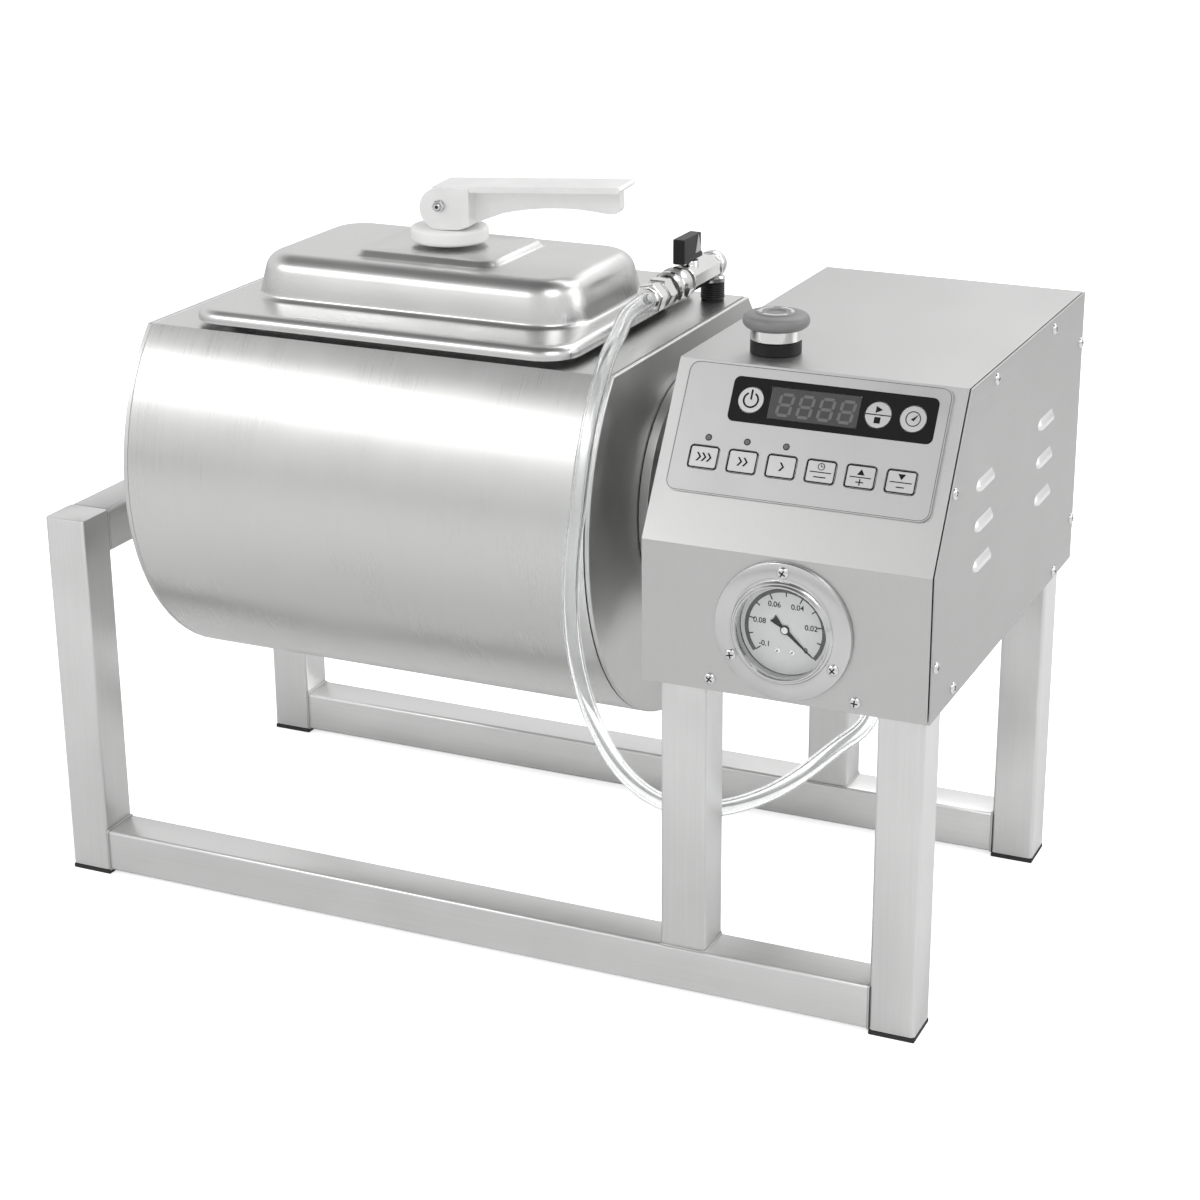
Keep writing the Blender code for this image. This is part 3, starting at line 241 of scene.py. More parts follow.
def finished(name, bm, material, smooth):
    """A mesh that is shaded smooth, but for the edges that bend by more than that many degrees."""
    mesh = bpy.data.meshes.new(name)
    bmesh.ops.recalc_face_normals(bm, faces=bm.faces)
    bm.to_mesh(mesh)
    bm.free()
    mesh.shade_smooth()
    mesh.set_sharp_from_angle(angle=math.radians(smooth))
    mesh.materials.append(material)
    return mesh


def piece(name, bm, material, body, where=Matrix(), smooth=35):
    """A finished mesh piece that rides on a body."""
    return placed(name, finished(name, bm, material, smooth), where, body)


def arc(centre, radius, start, end, steps):
    turns = [math.radians(start + (end - start) * i / steps) for i in range(steps + 1)]
    return [(centre[0] + radius * math.cos(t), centre[1] + radius * math.sin(t)) for t in turns]


def rounded(half_x, half_y, corner, steps=6, centre=(0, 0)):
    """A rectangle with round corners, anticlockwise."""
    points = []
    for i, (sx, sy) in enumerate(((1, 1), (-1, 1), (-1, -1), (1, -1))):
        middle = (centre[0] + sx * (half_x - corner), centre[1] + sy * (half_y - corner))
        points += arc(middle, corner, 90 * i, 90 * i + 90, steps)
    return points


def skin(rings, closed=False):
    """A mesh over rings of equally many points, capped at both ends unless it closes on itself."""
    bm = bmesh.new()
    rows = [[bm.verts.new(point) for point in ring] for ring in rings]
    count = len(rows[0])
    pairs = list(zip(rows, rows[1:])) + ([(rows[-1], rows[0])] if closed else [])
    for low, high in pairs:
        for i in range(count):
            j = (i + 1) % count
            bm.faces.new((low[i], low[j], high[j], high[i]))
    if not closed:
        bm.faces.new(rows[0][::-1])
        bm.faces.new(rows[-1])
    return bm


def axis_frame(axis, low, high):
    """A frame in the middle of a box with its z along the axis, and the box's half sizes in that frame."""
    middle = (Vector(low) + Vector(high)) / 2
    size = Vector(high) - Vector(low)
    others = [(axis + 1) % 3, (axis + 2) % 3]
    columns = [Vector([1.0 if i == k else 0.0 for i in range(3)]) for k in (*others, axis)]
    turned = Matrix(columns).transposed().to_4x4()
    return Matrix.Translation(middle) @ turned, (size[others[0]] / 2, size[others[1]] / 2, size[axis] / 2)


def softened_bar(half, corner, edge):
    """A bar along z with round long corners and a small round at its two ends."""
    x, y, z = half
    stations = (
        (-z, edge), (-z + edge * 0.3, edge * 0.3), (-z + edge, 0),
        (z - edge, 0), (z - edge * 0.3, edge * 0.3), (z, edge),
    )
    rings = []
    for height, inset in stations:
        rings.append([(px, py, height) for px, py in rounded(x - inset, y - inset, corner)])
    return skin(rings)


def outlined(name, outlines, material):
    """A curve of closed flat outlines."""
    curve = bpy.data.curves.new(name, "CURVE")
    curve.materials.append(material)
    for outline in outlines:
        line = curve.splines.new("POLY")
        line.points.add(len(outline) - 1)
        line.use_cyclic_u = True
        for point, (x, y) in zip(line.points, outline):
            point.co = (x, y, 0, 1)
    return curve


def weld_seam(name, where, half, proud=weld_proud):
    """A thin ground bead around the end of a tube."""
    outline = rounded(half[0] + proud, half[1] + proud, tube_corner, steps=4)
    seam = outlined(name, [outline], weld_finish)
    seam.dimensions = "3D"
    seam.bevel_depth = weld_radius
    seam.bevel_resolution = 2
    placed(name, seam, where, "stand")


tube_finish = [brushed(f"tube_brushed_{'xyz'[axis]}", tube_grey, along_axis[axis], 0.34) for axis in range(3)]
weld_grey = (0.52, 0.52, 0.51)
weld_finish = moulded("ground_weld", weld_grey, roughness=0.42, grain=500, relief=0.3, metallic=1.0)
tubes = {
    "leg_front_left": 2, "leg_back_left": 2, "leg_front_right": 2, "leg_back_right": 2,
    "leg_front_middle": 2, "leg_back_middle": 2, "rail_front": 0, "rail_back": 0, "crossbar_left": 1,
}
for name, axis in tubes.items():
    where, half = axis_frame(axis, *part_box(name))
    bar = softened_bar(half, tube_corner, 0.0006)
    bar.transform(where)
    tube = piece(name + "_tube", bar, tube_finish[axis], "stand")
    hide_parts(name)
    proud = -weld_radius if axis == 1 else weld_proud
    ends = {} if axis == 2 else {"_weld_low": -half[2], "_weld_high": half[2]}
    if name.endswith("middle"):
        ends = {"_weld": -half[2]}
    for weld, end in ends.items():
        weld_seam(name + weld, where @ Matrix.Translation((0, 0, end)), half, proud)


# The feet are black rubber plugs pushed into the corner legs. The bearing block on the crossbar is a cast
# pillow block, bolted down through its ears, with a bronze bush for the drum's left shaft.

bolt_radius = 0.0042
bolt_from_middle = 0.027


def smoothing(angle=30):
    """A modifier tree that shades a mesh smooth, but for the edges that bend by more than the angle."""
    group = bpy.data.node_groups.new("smoothing", "GeometryNodeTree")
    for side in ("INPUT", "OUTPUT"):
        group.interface.new_socket("Mesh", in_out=side, socket_type="NodeSocketGeometry")
    kinds = ("RemoveAttribute", "SetShadeSmooth", "SetShadeSmooth", "SetShadeSmooth")
    plain, faces, edges, bent = (group.nodes.new("GeometryNode" + kind) for kind in kinds)
    plain.inputs["Name"].default_value = "custom_normal"
    faces.domain = "FACE"
    edges.domain = "EDGE"
    bent.domain = "EDGE"
    bent.inputs[2].default_value = False
    bend = group.nodes.new("GeometryNodeInputMeshEdgeAngle")
    over = group.nodes.new("FunctionNodeCompare")
    over.operation = "GREATER_THAN"
    over.inputs[1].default_value = math.radians(angle)
    group.links.new(bend.outputs[0], over.inputs[0])
    group.links.new(over.outputs[0], bent.inputs[1])
    inlet, outlet = group.nodes.new("NodeGroupInput"), group.nodes.new("NodeGroupOutput")
    steps = (inlet, plain, faces, edges, bent, outlet)
    for before, after in zip(steps, steps[1:]):
        group.links.new(before.outputs[0], after.inputs[0])
    return group


smooth_tree = smoothing()


def dress(name, material, bevel=0.0005, segments=2):
    """Gives a carried-over node its finish and eases its edges."""
    node = nodes[name]
    node.data.materials.clear()
    node.data.materials.append(material)
    weld = node.modifiers.new("merge", "WELD")
    weld.merge_threshold = 0.00001
    flats = node.modifiers.new("flats", "DECIMATE")
    flats.decimate_type = "DISSOLVE"
    flats.angle_limit = math.radians(0.5)
    smooth = node.modifiers.new("smooth", "NODES")
    smooth.node_group = smooth_tree
    if bevel:
        edge = node.modifiers.new("eased", "BEVEL")
        edge.width = bevel
        edge.segments = segments
        edge.limit_method = "ANGLE"
        edge.angle_limit = math.radians(30)
        edge.use_clamp_overlap = True
        edge.harden_normals = True
    return node


def spun(profile, steps=48, closed=False):
    """A mesh turned about z from (radius, height) points; points on the axis close it."""
    bm = bmesh.new()
    rows = []
    for radius, height in profile:
        if radius < 1e-7:
            rows.append([bm.verts.new((0, 0, height))])
        else:
            ring = [
                bm.verts.new((radius * math.cos(a), radius * math.sin(a), height))
                for a in (2 * math.pi * i / steps for i in range(steps))
            ]
            rows.append(ring)
    pairs = list(zip(rows, rows[1:])) + ([(rows[-1], rows[0])] if closed else [])
    for a, b in pairs:
        for i in range(steps):
            j = (i + 1) % steps
            corners = [a[0]] if len(a) == 1 else [a[i], a[j]]
            corners += [b[0]] if len(b) == 1 else [b[j], b[i]]
            if len(corners) > 2:
                bm.faces.new(corners)
    return bm


def turned_by(points, degrees):
    """Flat points turned about the origin."""
    across, up_by = math.cos(math.radians(degrees)), math.sin(math.radians(degrees))
    return [(x * across - y * up_by, x * up_by + y * across) for x, y in points]


def prism(outline, low, high, edge=0.0, turn=0.0):
    """An outline, turned and extruded along z, with its two end edges eased."""
    size = max(math.hypot(x, y) for x, y in outline)
    stations = [(low, 0), (high, 0)]
    if edge:
        stations = [(low, edge), (low + edge, 0), (high - edge, 0), (high, edge)]
    rings = []
    for height, inset in stations:
        keep = 1 - inset / size
        rings.append([(keep * x, keep * y, height) for x, y in turned_by(outline, turn)])
    return skin(rings)


def circle(radius, steps=32):
    return arc((0, 0), radius, 0, 360, steps)[:-1]


def hexagon(flats):
    """A hexagon by its width across flats."""
    return circle(flats / math.sqrt(3), 6)


rubber = moulded("black_rubber", (0.022, 0.022, 0.022), roughness=0.75, grain=500, relief=0.3)
cast = moulded("tumbled_casting", (0.90, 0.90, 0.895), roughness=0.46, grain=420, relief=0.1, metallic=1.0)
bronze = moulded("turned_bronze", (0.50, 0.40, 0.27), roughness=0.35, grain=600, metallic=1.0)
zinc = moulded("bright_zinc", (0.72, 0.72, 0.72), roughness=0.22, grain=400, relief=0.08, metallic=1.0)
for place in ("front_left", "back_left", "front_right", "back_right"):
    dress("foot_" + place, rubber, bevel=0.0006)
dress("bearing_block", cast, bevel=0.0008)
dress("bearing_bush", bronze, bevel=0.0)
bush_low, bush_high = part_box("bearing_bush")
axis_y = (bush_low[1] + bush_high[1]) / 2
axis_z = (bush_low[2] + bush_high[2]) / 2
bush_x = (bush_low[0] + bush_high[0]) / 2
block_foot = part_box("bearing_block")[0][2] + 0.007
for side in (-1, 1):
    at = Matrix.Translation((bush_x, axis_y + side * bolt_from_middle, block_foot))
    head = prism(hexagon(bolt_radius * 2), 0.0, 0.004, 0.0004)
    piece(f"block_bolt_{'front' if side < 0 else 'back'}", head, zinc, "stand", at, smooth=30)


# The drum is a stainless sheet rolled round and flattened on top, closed by two pressed end plates. Its skin
# is brushed round the drum, and the ends show the swirl of the polishing wheel.

drum_grey = (0.64, 0.64, 0.635)


def swirled(name, colour, centre, roughness=0.3, fine=5200.0):
    """Steel polished with a wheel: fine rings about a centre in the plate's plane."""
    material, tree, shader, out = shader_of(name)
    here = wire(tree, "TexCoord").outputs["Object"]
    offset = wire(tree, "VectorMath", {0: here, 1: centre}, operation="SUBTRACT").outputs[0]
    flat_only = wire(tree, "VectorMath", {0: offset, 1: (0, 1, 1)}, operation="MULTIPLY").outputs[0]
    distance = wire(tree, "VectorMath", {0: flat_only}, operation="LENGTH").outputs["Value"]
    lines = wire(tree, "TexNoise", {"W": distance, "Scale": fine, "Detail": 3.0}, noise_dimensions="1D")
    clouds = surface_noise(tree, (18, 18, 18))
    tree.links.new(shade(tree, colour, between(tree, clouds, 0, 1), 0.07), shader.inputs["Base Color"])
    tree.links.new(between(tree, clouds, roughness * 0.8, roughness * 1.3), shader.inputs["Roughness"])
    shader.inputs["Metallic"].default_value = 1.0
    bump = wire(tree, "Bump", {"Strength": 0.2, "Distance": 0.00005, "Height": lines.outputs["Fac"]})
    tree.links.new(bump.outputs[0], shader.inputs["Normal"])
    return material


drum_finish = brushed("drum_brushed", drum_grey, (1500, 22, 22), 0.30, spread=0.03, relief=0.03)
end_finish = swirled("end_plate_swirl", drum_grey, (0, axis_y, axis_z), roughness=0.44)
dress("drum_shell", drum_finish, bevel=0.0)
dress("drum_end_left", end_finish, bevel=0.0006)
dress("drum_end_right", end_finish, bevel=0.0010, segments=3)
dress("mouth_collar", drum_finish, bevel=0.0006)
dress("drive_hub", brushed("hub_turned", (0.55, 0.55, 0.545), (900, 30, 30), 0.3), bevel=0.0006)


# The lid is pressed from one stainless sheet: a rolled rim, a flange, a high dome with generous corners and a
# raised pad for the clamp. A dark silicone gasket is stretched over the collar under it.

lid_low, lid_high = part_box("lid")
lid_x, lid_y = (lid_low[0] + lid_high[0]) / 2, (lid_low[1] + lid_high[1]) / 2
lid_half = ((lid_high[0] - lid_low[0]) / 2, (lid_high[1] - lid_low[1]) / 2)
rim_low = lid_low[2]
crown = lid_high[2] - 0.0035
flange = crown - 0.0255
lid_sheet = 0.0012
dome_half = (0.107, 0.061)
pad_half = (0.046, 0.037)
stud_hole = 0.0056
bend, draft, foot_round, rim_round = 0.0125, 14.0, 0.0030, 0.0058


def lid_section():
    """Half width, half depth, corner and height of each ring, from the stud hole outwards."""
    p, q = dome_half
    u, v = pad_half
    a, b = lid_half
    rings = [
        (u - 0.0030, v - 0.0030, 0.0060, crown + 0.0035),
        (u - 0.0016, v - 0.0016, 0.0075, crown + 0.0031),
        (u + 0.0004, v + 0.0004, 0.0090, crown + 0.0012),
        (u + 0.0014, v + 0.0014, 0.0100, crown + 0.0003),
        (u + 0.0034, v + 0.0034, 0.0115, crown),
        (p - 0.0170, q - 0.0170, 0.0125, crown),
    ]
    wall_top = crown - bend * (1 - math.sin(math.radians(draft)))
    lean = (wall_top - flange - foot_round) * math.tan(math.radians(draft))
    back = lean + bend * math.cos(math.radians(draft))
    for out_by, down_by in arc((0, 0), bend, 85, draft, 9):
        rings.append((p - back + out_by, q - back + out_by, 0.0285 - back + out_by, crown - bend + down_by))
    rings.append((p, q, 0.0285, flange + foot_round + 0.0006))
    for out_by, down_by in arc((0, 0), foot_round, draft, 85, 5):
        back = foot_round - out_by
        rings.append((p + back, q + back, 0.0285 + back, flange + foot_round - down_by))
    rings.append((p + 0.0050, q + 0.0050, 0.0330, flange))
    rings.append((a - 0.0075, b - 0.0075, 0.0180, flange))
    for out_by, down_by in arc((0, 0), rim_round, 80, 0, 6):
        back = rim_round - out_by
        rings.append((a - back, b - back, 0.0220 - 0.7 * back, flange - rim_round + down_by))
    rings.append((a, b, 0.0220, rim_low + 0.0003))
    return rings


def lid_mesh():
    """Both faces of the sheet, joined at the stud hole and at the rim's edge."""
    steps = 10
    count = 4 * (steps + 1)
    half_step = math.radians(180 / count)

    def hole(height):
        turns = [half_step + 2 * math.pi * i / count for i in range(count)]
        return [(stud_hole * math.cos(t), stud_hole * math.sin(t), height) for t in turns]

    section = lid_section()
    outer = [hole(section[0][3])]
    outer += [[(x, y, height) for x, y in rounded(w, d, corner, steps)] for w, d, corner, height in section]
    under = []
    for i, (w, d, corner, height) in enumerate(section):
        before, after = section[max(i - 1, 0)], section[min(i + 1, len(section) - 1)]
        along, drop = after[0] - before[0], after[3] - before[3]
        length = math.hypot(along, drop) or 1.0
        inward, down = lid_sheet * drop / length, lid_sheet * along / length
        if i == len(section) - 1:
            inward, down = -lid_sheet, 0.0
        ring = rounded(w + inward, d + inward, max(corner + inward, 0.001), steps)
        under.append([(x, y, height - down) for x, y in ring])
    under = [hole(section[0][3] - lid_sheet), *under]
    return skin(outer + under[::-1], closed=True)


lid_finish = brushed("lid_brushed", (0.63, 0.63, 0.625), (16, 560, 16), 0.29, spread=0.05, relief=0.16)
lid_place = Matrix.Translation((lid_x, lid_y, 0))
lid = piece("pressed_lid", lid_mesh(), lid_finish, "lid", lid_place, smooth=50)
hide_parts("lid")
silicone = moulded("dark_silicone", (0.035, 0.035, 0.035), roughness=0.55, grain=300)
dress("lid_gasket", silicone, bevel=0.0006)


# The clamp is a stud with a bar under the lid, a turned nylon disc and a cast lever whose cam bears on it.
# The lever turns on a set-screw pin between its two cheeks.

lever_turn = math.radians(6.5)
to_front = Matrix.Rotation(math.radians(90), 4, "X")
pin_low, pin_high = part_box("pivot_pin")
on_pin = Matrix.Translation((lid_x, lid_y, (pin_low[2] + pin_high[2]) / 2))
along_pin = on_pin @ Matrix.Rotation(lever_turn, 4, "Z") @ to_front
disc_low, disc_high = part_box("clamp_disc")
nylon = moulded("white_nylon", (0.86, 0.86, 0.85), roughness=0.42, grain=500, relief=0.06, spread=0.02)
disc_bore, disc_neck, disc_round = 0.0053, 0.0095, 0.0022
disc_core = (disc_high[0] - disc_low[0]) / 2 - disc_round
disc_top, disc_foot = disc_high[2], disc_high[2] - 0.0088
disc_profile = [
    (disc_bore, disc_top),
    (disc_core, disc_top),
    *arc((disc_core, disc_top - disc_round), disc_round, 75, 0, 5),
    *arc((disc_core, disc_foot + disc_round), disc_round, 0, -80, 5),
    (disc_neck, disc_foot),
    (disc_neck, disc_low[2]),
    (disc_bore, disc_low[2]),
]
disc = piece("nylon_disc", spun(disc_profile, 64, closed=True), nylon, "clamp", lid_place)
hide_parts("clamp_disc")
dress("clamp_stud", zinc, bevel=0.0004)
dress("pivot_pin", zinc, bevel=0.0003)
dress("cam_lever", cast, bevel=0.0011, segments=3)

thread_low, thread_high = disc_low[2] + 0.0002, disc_foot - 0.0002
thread_pitch = 0.00125
collar = []
rise = thread_low
while rise < thread_high - thread_pitch:
    collar += [(0.0098, rise), (0.0103, rise + thread_pitch / 2)]
    rise += thread_pitch
collar = [(0.0096, thread_low), *collar, (0.0096, thread_high)]
piece("stud_nut_threads", spun(collar[::-1], 40, closed=True), zinc, "clamp", lid_place)
nut_at = along_pin @ Matrix.Translation((0, 0, 0.0166))
pin_nut = prism(hexagon(0.0066), 0.0, 0.0024, 0.0004)
piece("pin_nut", pin_nut, zinc, "clamp_lever", nut_at, smooth=30)
screw_end = prism(circle(0.0020, 20), 0.0020, 0.0036, 0.0003)
piece("pin_screw_end", screw_end, zinc, "clamp_lever", nut_at, smooth=30)
# Painted shade: a near-black colour stands in for the shadow in the cross recesses of the screws and in the
# pin screw's hexagon socket.
painted_recess_shade = moulded("painted_recess_shade", (0.015, 0.015, 0.015), roughness=0.7)
# The socket's floor is a disc of that painted shade.
socket_floor = prism(hexagon(0.0020), 0.0034, 0.00365)
piece("pin_screw_socket", socket_floor, painted_recess_shade, "clamp_lever", nut_at, smooth=30)


# The valve on the drum is a nickel-plated elbow in a black threaded socket. It carries a small ball valve
# with eight flats, two turned bands and a boss for the stem.

nickel_grey = (0.74, 0.74, 0.735)
nickel = moulded("nickel_plate", nickel_grey, 0.14, grain=300, relief=0.06, spread=0.04, metallic=1.0)
soot = (0.010, 0.010, 0.010)
black_plastic = moulded("black_plastic", soot, roughness=0.40, grain=700, relief=0.2, gloss=0.3)
socket_low, socket_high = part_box("valve_socket")
valve_x, valve_y = (socket_low[0] + socket_high[0]) / 2, (socket_low[1] + socket_high[1]) / 2
socket_radius = (socket_high[0] - socket_low[0]) / 2
sleeve_low, sleeve_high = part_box("coupler_sleeve")
valve_z = (sleeve_low[2] + sleeve_high[2]) / 2
handle_low, handle_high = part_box("valve_handle")
stem_y = (handle_low[1] + handle_high[1]) / 2 + 0.003
on_socket = Matrix.Translation((valve_x, valve_y, 0))
forward = Matrix.Translation((valve_x, 0, valve_z)) @ to_front


def threaded(radius, low, high, pitch=0.0013, depth=0.0005):
    """A turned profile with a rolled thread between two heights, from top to bottom."""
    points = [(0.0, high), (radius - depth, high)]
    height = high - pitch * 0.4
    while height > low + pitch:
        points += [(radius, height), (radius - depth, height - pitch / 2)]
        height -= pitch
    return [*points, (radius - depth, low), (0.0, low)]


def rod(radius, low, high, edge=0.0):
    """The profile of a turned rod from top to bottom, with its two edges eased."""
    eased = [(radius - edge, high), (radius, high - edge), (radius, low + edge), (radius - edge, low)]
    return [(0, high), *(eased if edge else eased[1:3]), (0, low)]


def plated(parts, node):
    """The nickel-plated pieces that stand for one node of the valve."""
    made = [piece(name, bm, nickel, "drum", where, smooth=38) for name, bm, where in parts]
    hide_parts(node)


socket_bm = spun(threaded(socket_radius, socket_low[2], socket_high[2]), 40)
socket = piece("threaded_socket", socket_bm, black_plastic, "drum", on_socket)
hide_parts("valve_socket")
seat = socket_high[2] + 0.0003
collar_top = seat + 0.0036
elbow_collar = [
    (0, collar_top), (0.0066, collar_top), (0.0078, collar_top - 0.0012), (0.0078, seat), (0, seat),
]
ball = [(0, 0.0088), *arc((0, 0), 0.0088, 80, -80, 14), (0, -0.0088)]
block_back, block_front = -valve_y + 0.004, -sleeve_high[1] - 0.0035
boss_top = handle_low[2] - 0.0004
boss = [(0, boss_top), (0.0050, boss_top), (0.0054, boss_top - 0.0006), (0.0054, valve_z), (0, valve_z)]
elbow = (
    ("elbow_collar", spun(elbow_collar, 40), on_socket),
    ("elbow_riser", spun(rod(0.0064, seat + 0.003, valve_z), 40), on_socket),
    ("elbow_ball", spun(ball, 40), on_socket @ Matrix.Translation((0, 0, valve_z))),
    ("valve_block", prism(circle(0.0088, 8), block_back, block_front, 0.0005, turn=22.5), forward),
    ("valve_band_0", spun(rod(0.0094, block_front - 0.0014, block_front + 0.0003, 0.0004), 40), forward),
    ("valve_band_1", spun(rod(0.0090, block_back + 0.0010, block_back + 0.0032, 0.0004), 40), forward),
    ("stem_boss", spun(boss, 32), Matrix.Translation((valve_x, stem_y, 0))),
)
plated(elbow, "valve_body")


# The handle on the stem is a block moulded in black plastic. A pale pointer on its flank shows which way the
# valve is turned.

to_right = Matrix(((0, 0, 1, 0), (1, 0, 0, 0), (0, 1, 0, 0), (0, 0, 0, 1)))
dress("valve_handle", black_plastic, bevel=0.0007)
arrow = prism([(-0.0045, 0.0), (0.0045, 0.0), (0.0, 0.0105)], 0.0, 0.0006)
flank = Matrix.Translation((handle_high[0] - 0.0002, stem_y + 0.004, handle_low[2] + 0.004)) @ to_right
pale = moulded("pointer_grey", (0.42, 0.42, 0.42), 0.4)
piece("handle_arrow", arrow, pale, "valve_handle", flank, smooth=30)


# The coupling sleeve slides back on its balls to free the hose. It is turned from bar and nickel-plated, with
# four raised rings to hold it by.

sleeve_back, sleeve_front = -sleeve_high[1], -sleeve_low[1]
grip = (sleeve_high[0] - sleeve_low[0]) / 2
sleeve_bore, ring_edge = 0.0076, 0.0006
grip_rings = (
    (0.0010, 0.0048, grip - 0.0004), (0.0060, 0.0096, grip - 0.0018),
    (0.0108, 0.0160, grip), (0.0172, 0.0196, grip - 0.0012),
)
turned = [(sleeve_bore, sleeve_front), (grip - 0.0016, sleeve_front), (grip - 0.0006, sleeve_front - 0.0008)]
for start, end, radius in grip_rings:
    turned += [(radius - ring_edge, sleeve_front - start), (radius, sleeve_front - start - ring_edge)]
    turned += [(radius, sleeve_front - end + ring_edge), (radius - ring_edge, sleeve_front - end)]
turned.append((sleeve_bore, sleeve_back))
sleeve_bm = spun(turned, 56, closed=True)
sleeve = piece("sleeve_grip", sleeve_bm, nickel, "coupler_sleeve", forward, smooth=38)
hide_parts("coupler_sleeve")


# The hose tail is screwed into the coupling by its hexagon. A smaller hexagon nut clamps the hose, which is
# pushed over the tail.

tail_low, tail_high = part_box("hose_tail")
tail_back, tail_front = -tail_high[1], -tail_low[1]
lip = [
    (0.0049, tail_front), (0.0060, tail_front), (0.0066, tail_front - 0.0008),
    (0.0068, tail_front - 0.0034), (0.0049, tail_front - 0.0034),
]
tail = (
    ("tail_hexagon", prism(hexagon(0.0165), tail_back, tail_back + 0.0085, 0.0006), forward),
    ("tail_neck", spun(rod(0.0068, tail_back + 0.0080, tail_back + 0.0130), 40), forward),
    ("tail_nut", prism(hexagon(0.0155), tail_back + 0.0125, tail_front - 0.0030, 0.0006, turn=12), forward),
    ("tail_lip", spun(lip, 40, closed=True), forward),
)
plated(tail, "hose_tail")


# The hose is clear plastic tube, 9.5 mm outside, with a wall of 1.65 mm. It runs from the tail over the front
# of the drum, hangs in a loop behind the middle leg and rises to the fitting under the housing.

hose_radius, hose_bore = 0.00475, 0.0031
fitting_low, fitting_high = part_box("hose_fitting")
fitting_x, fitting_y = (fitting_low[0] + fitting_high[0]) / 2, (fitting_low[1] + fitting_high[1]) / 2
gap = 0.0003
tail_y = tail_low[1]
housing_bottom = fitting_low[2] + 0.0042
drum_low, drum_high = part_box("drum_shell")
drum_front, drum_right = drum_low[1], drum_high[0] + 0.0033
drum_radius = axis_y - drum_front


def over_drum(inset, angle, clear):
    """A point by the drum: inwards from its right end, forward from its top by the angle, off its skin."""
    turn = math.radians(angle)
    reach = drum_radius + clear
    return drum_right - inset, axis_y - reach * math.sin(turn), axis_z + reach * math.cos(turn)


def before_fitting(left, front, down):
    return fitting_x - left, fitting_y - front, housing_bottom - down


hose_route = [
    (valve_x, tail_y - gap, valve_z),
    (valve_x, tail_y - 0.0120, valve_z - 0.0003),
    (valve_x + 0.0006, tail_y - 0.0270, valve_z - 0.0016),
    over_drum(0.0138, 27.8, -0.0115),
    over_drum(0.0095, 35.2, -0.0053),
    over_drum(0.0070, 42.2, 0.0013),
    over_drum(0.0038, 49.0, 0.0073),
    over_drum(0.0020, 55.9, 0.0115),
    over_drum(0.0014, 62.9, 0.0128),
    over_drum(0.0014, 69.8, 0.0124),
    over_drum(0.0022, 77.0, 0.0112),
    over_drum(0.0040, 84.1, 0.0102),
    over_drum(0.0060, 91.6, 0.0098),
    over_drum(0.0073, 99.0, 0.0105),
    over_drum(0.0078, 106.5, 0.0123),
    over_drum(0.0077, 113.7, 0.0147),
    over_drum(0.0068, 120.6, 0.0182),
    over_drum(0.0050, 127.2, 0.0227),
    before_fitting(0.1490, 0.0420, 0.0445),
    before_fitting(0.1449, 0.0355, 0.0600),
    before_fitting(0.1387, 0.0295, 0.0735),
    before_fitting(0.1302, 0.0245, 0.0840),
    before_fitting(0.1197, 0.0205, 0.0910),
    before_fitting(0.1077, 0.0175, 0.0940),
    before_fitting(0.0947, 0.0152, 0.0935),
    before_fitting(0.0817, 0.0133, 0.0902),
    before_fitting(0.0692, 0.0117, 0.0850),
    before_fitting(0.0572, 0.0102, 0.0783),
    before_fitting(0.0460, 0.0088, 0.0702),
    before_fitting(0.0357, 0.0073, 0.0613),
    before_fitting(0.0262, 0.0058, 0.0520),
    before_fitting(0.0169, 0.0040, 0.0430),
    before_fitting(0.0080, 0.0018, 0.0358),
    before_fitting(0.0020, 0.0004, 0.0265),
    before_fitting(0.0, 0.0, 0.0170),
    before_fitting(0.0, 0.0, 0.0042 - 0.0026 + 3 * gap),
]


def smooth_route(points, spacing):
    """Evenly spaced points on a smooth curve through the route."""
    route = [Vector(p) for p in points]
    padded = [2 * route[0] - route[1], *route, 2 * route[-1] - route[-2]]
    fine = [route[0]]
    for a, b, c, d in zip(padded, padded[1:], padded[2:], padded[3:]):
        for i in range(1, 9):
            t = i / 8
            bend = (2 * a - 5 * b + 4 * c - d) * t**2 + (3 * b - a - 3 * c + d) * t**3
            fine.append(0.5 * (2 * b + (c - a) * t + bend))
    total = sum((q - p).length for p, q in zip(fine, fine[1:]))
    count = round(total / spacing)
    kept, walked, step = [fine[0]], 0.0, total / count
    for p, q in zip(fine, fine[1:]):
        length = (q - p).length
        while length and walked + length >= step * len(kept) and len(kept) < count:
            kept.append(p.lerp(q, (step * len(kept) - walked) / length))
        walked += length
    kept.append(fine[-1])
    for _ in range(5):
        eased = [(a + 2 * b + c) / 4 for a, b, c in zip(kept[1:], kept[2:], kept[3:])]
        kept = [*kept[:2], *eased, *kept[-1:]]
    return kept, sum((q - p).length for p, q in zip(kept, kept[1:]))


def hose_mesh(path, sides=28):
    """A tube with a wall: it goes out along the outer skin and comes back along the bore."""
    heading = (path[1] - path[0]).normalized()
    side = heading.orthogonal().normalized()
    frames = []
    for i, point in enumerate(path):
        ahead = (path[min(i + 1, len(path) - 1)] - path[max(i - 1, 0)]).normalized()
        side = (side - ahead * side.dot(ahead)).normalized()
        frames.append((point, side, ahead.cross(side)))

    def ring(frame_at, radius):
        point, a, b = frame_at
        turns = [2 * math.pi * i / sides for i in range(sides)]
        return [point + a * (radius * math.cos(t)) + b * (radius * math.sin(t)) for t in turns]

    outer = [ring(f, hose_radius) for f in frames]
    inner = [ring(f, hose_bore) for f in reversed(frames)]
    return skin(outer + inner, closed=True)


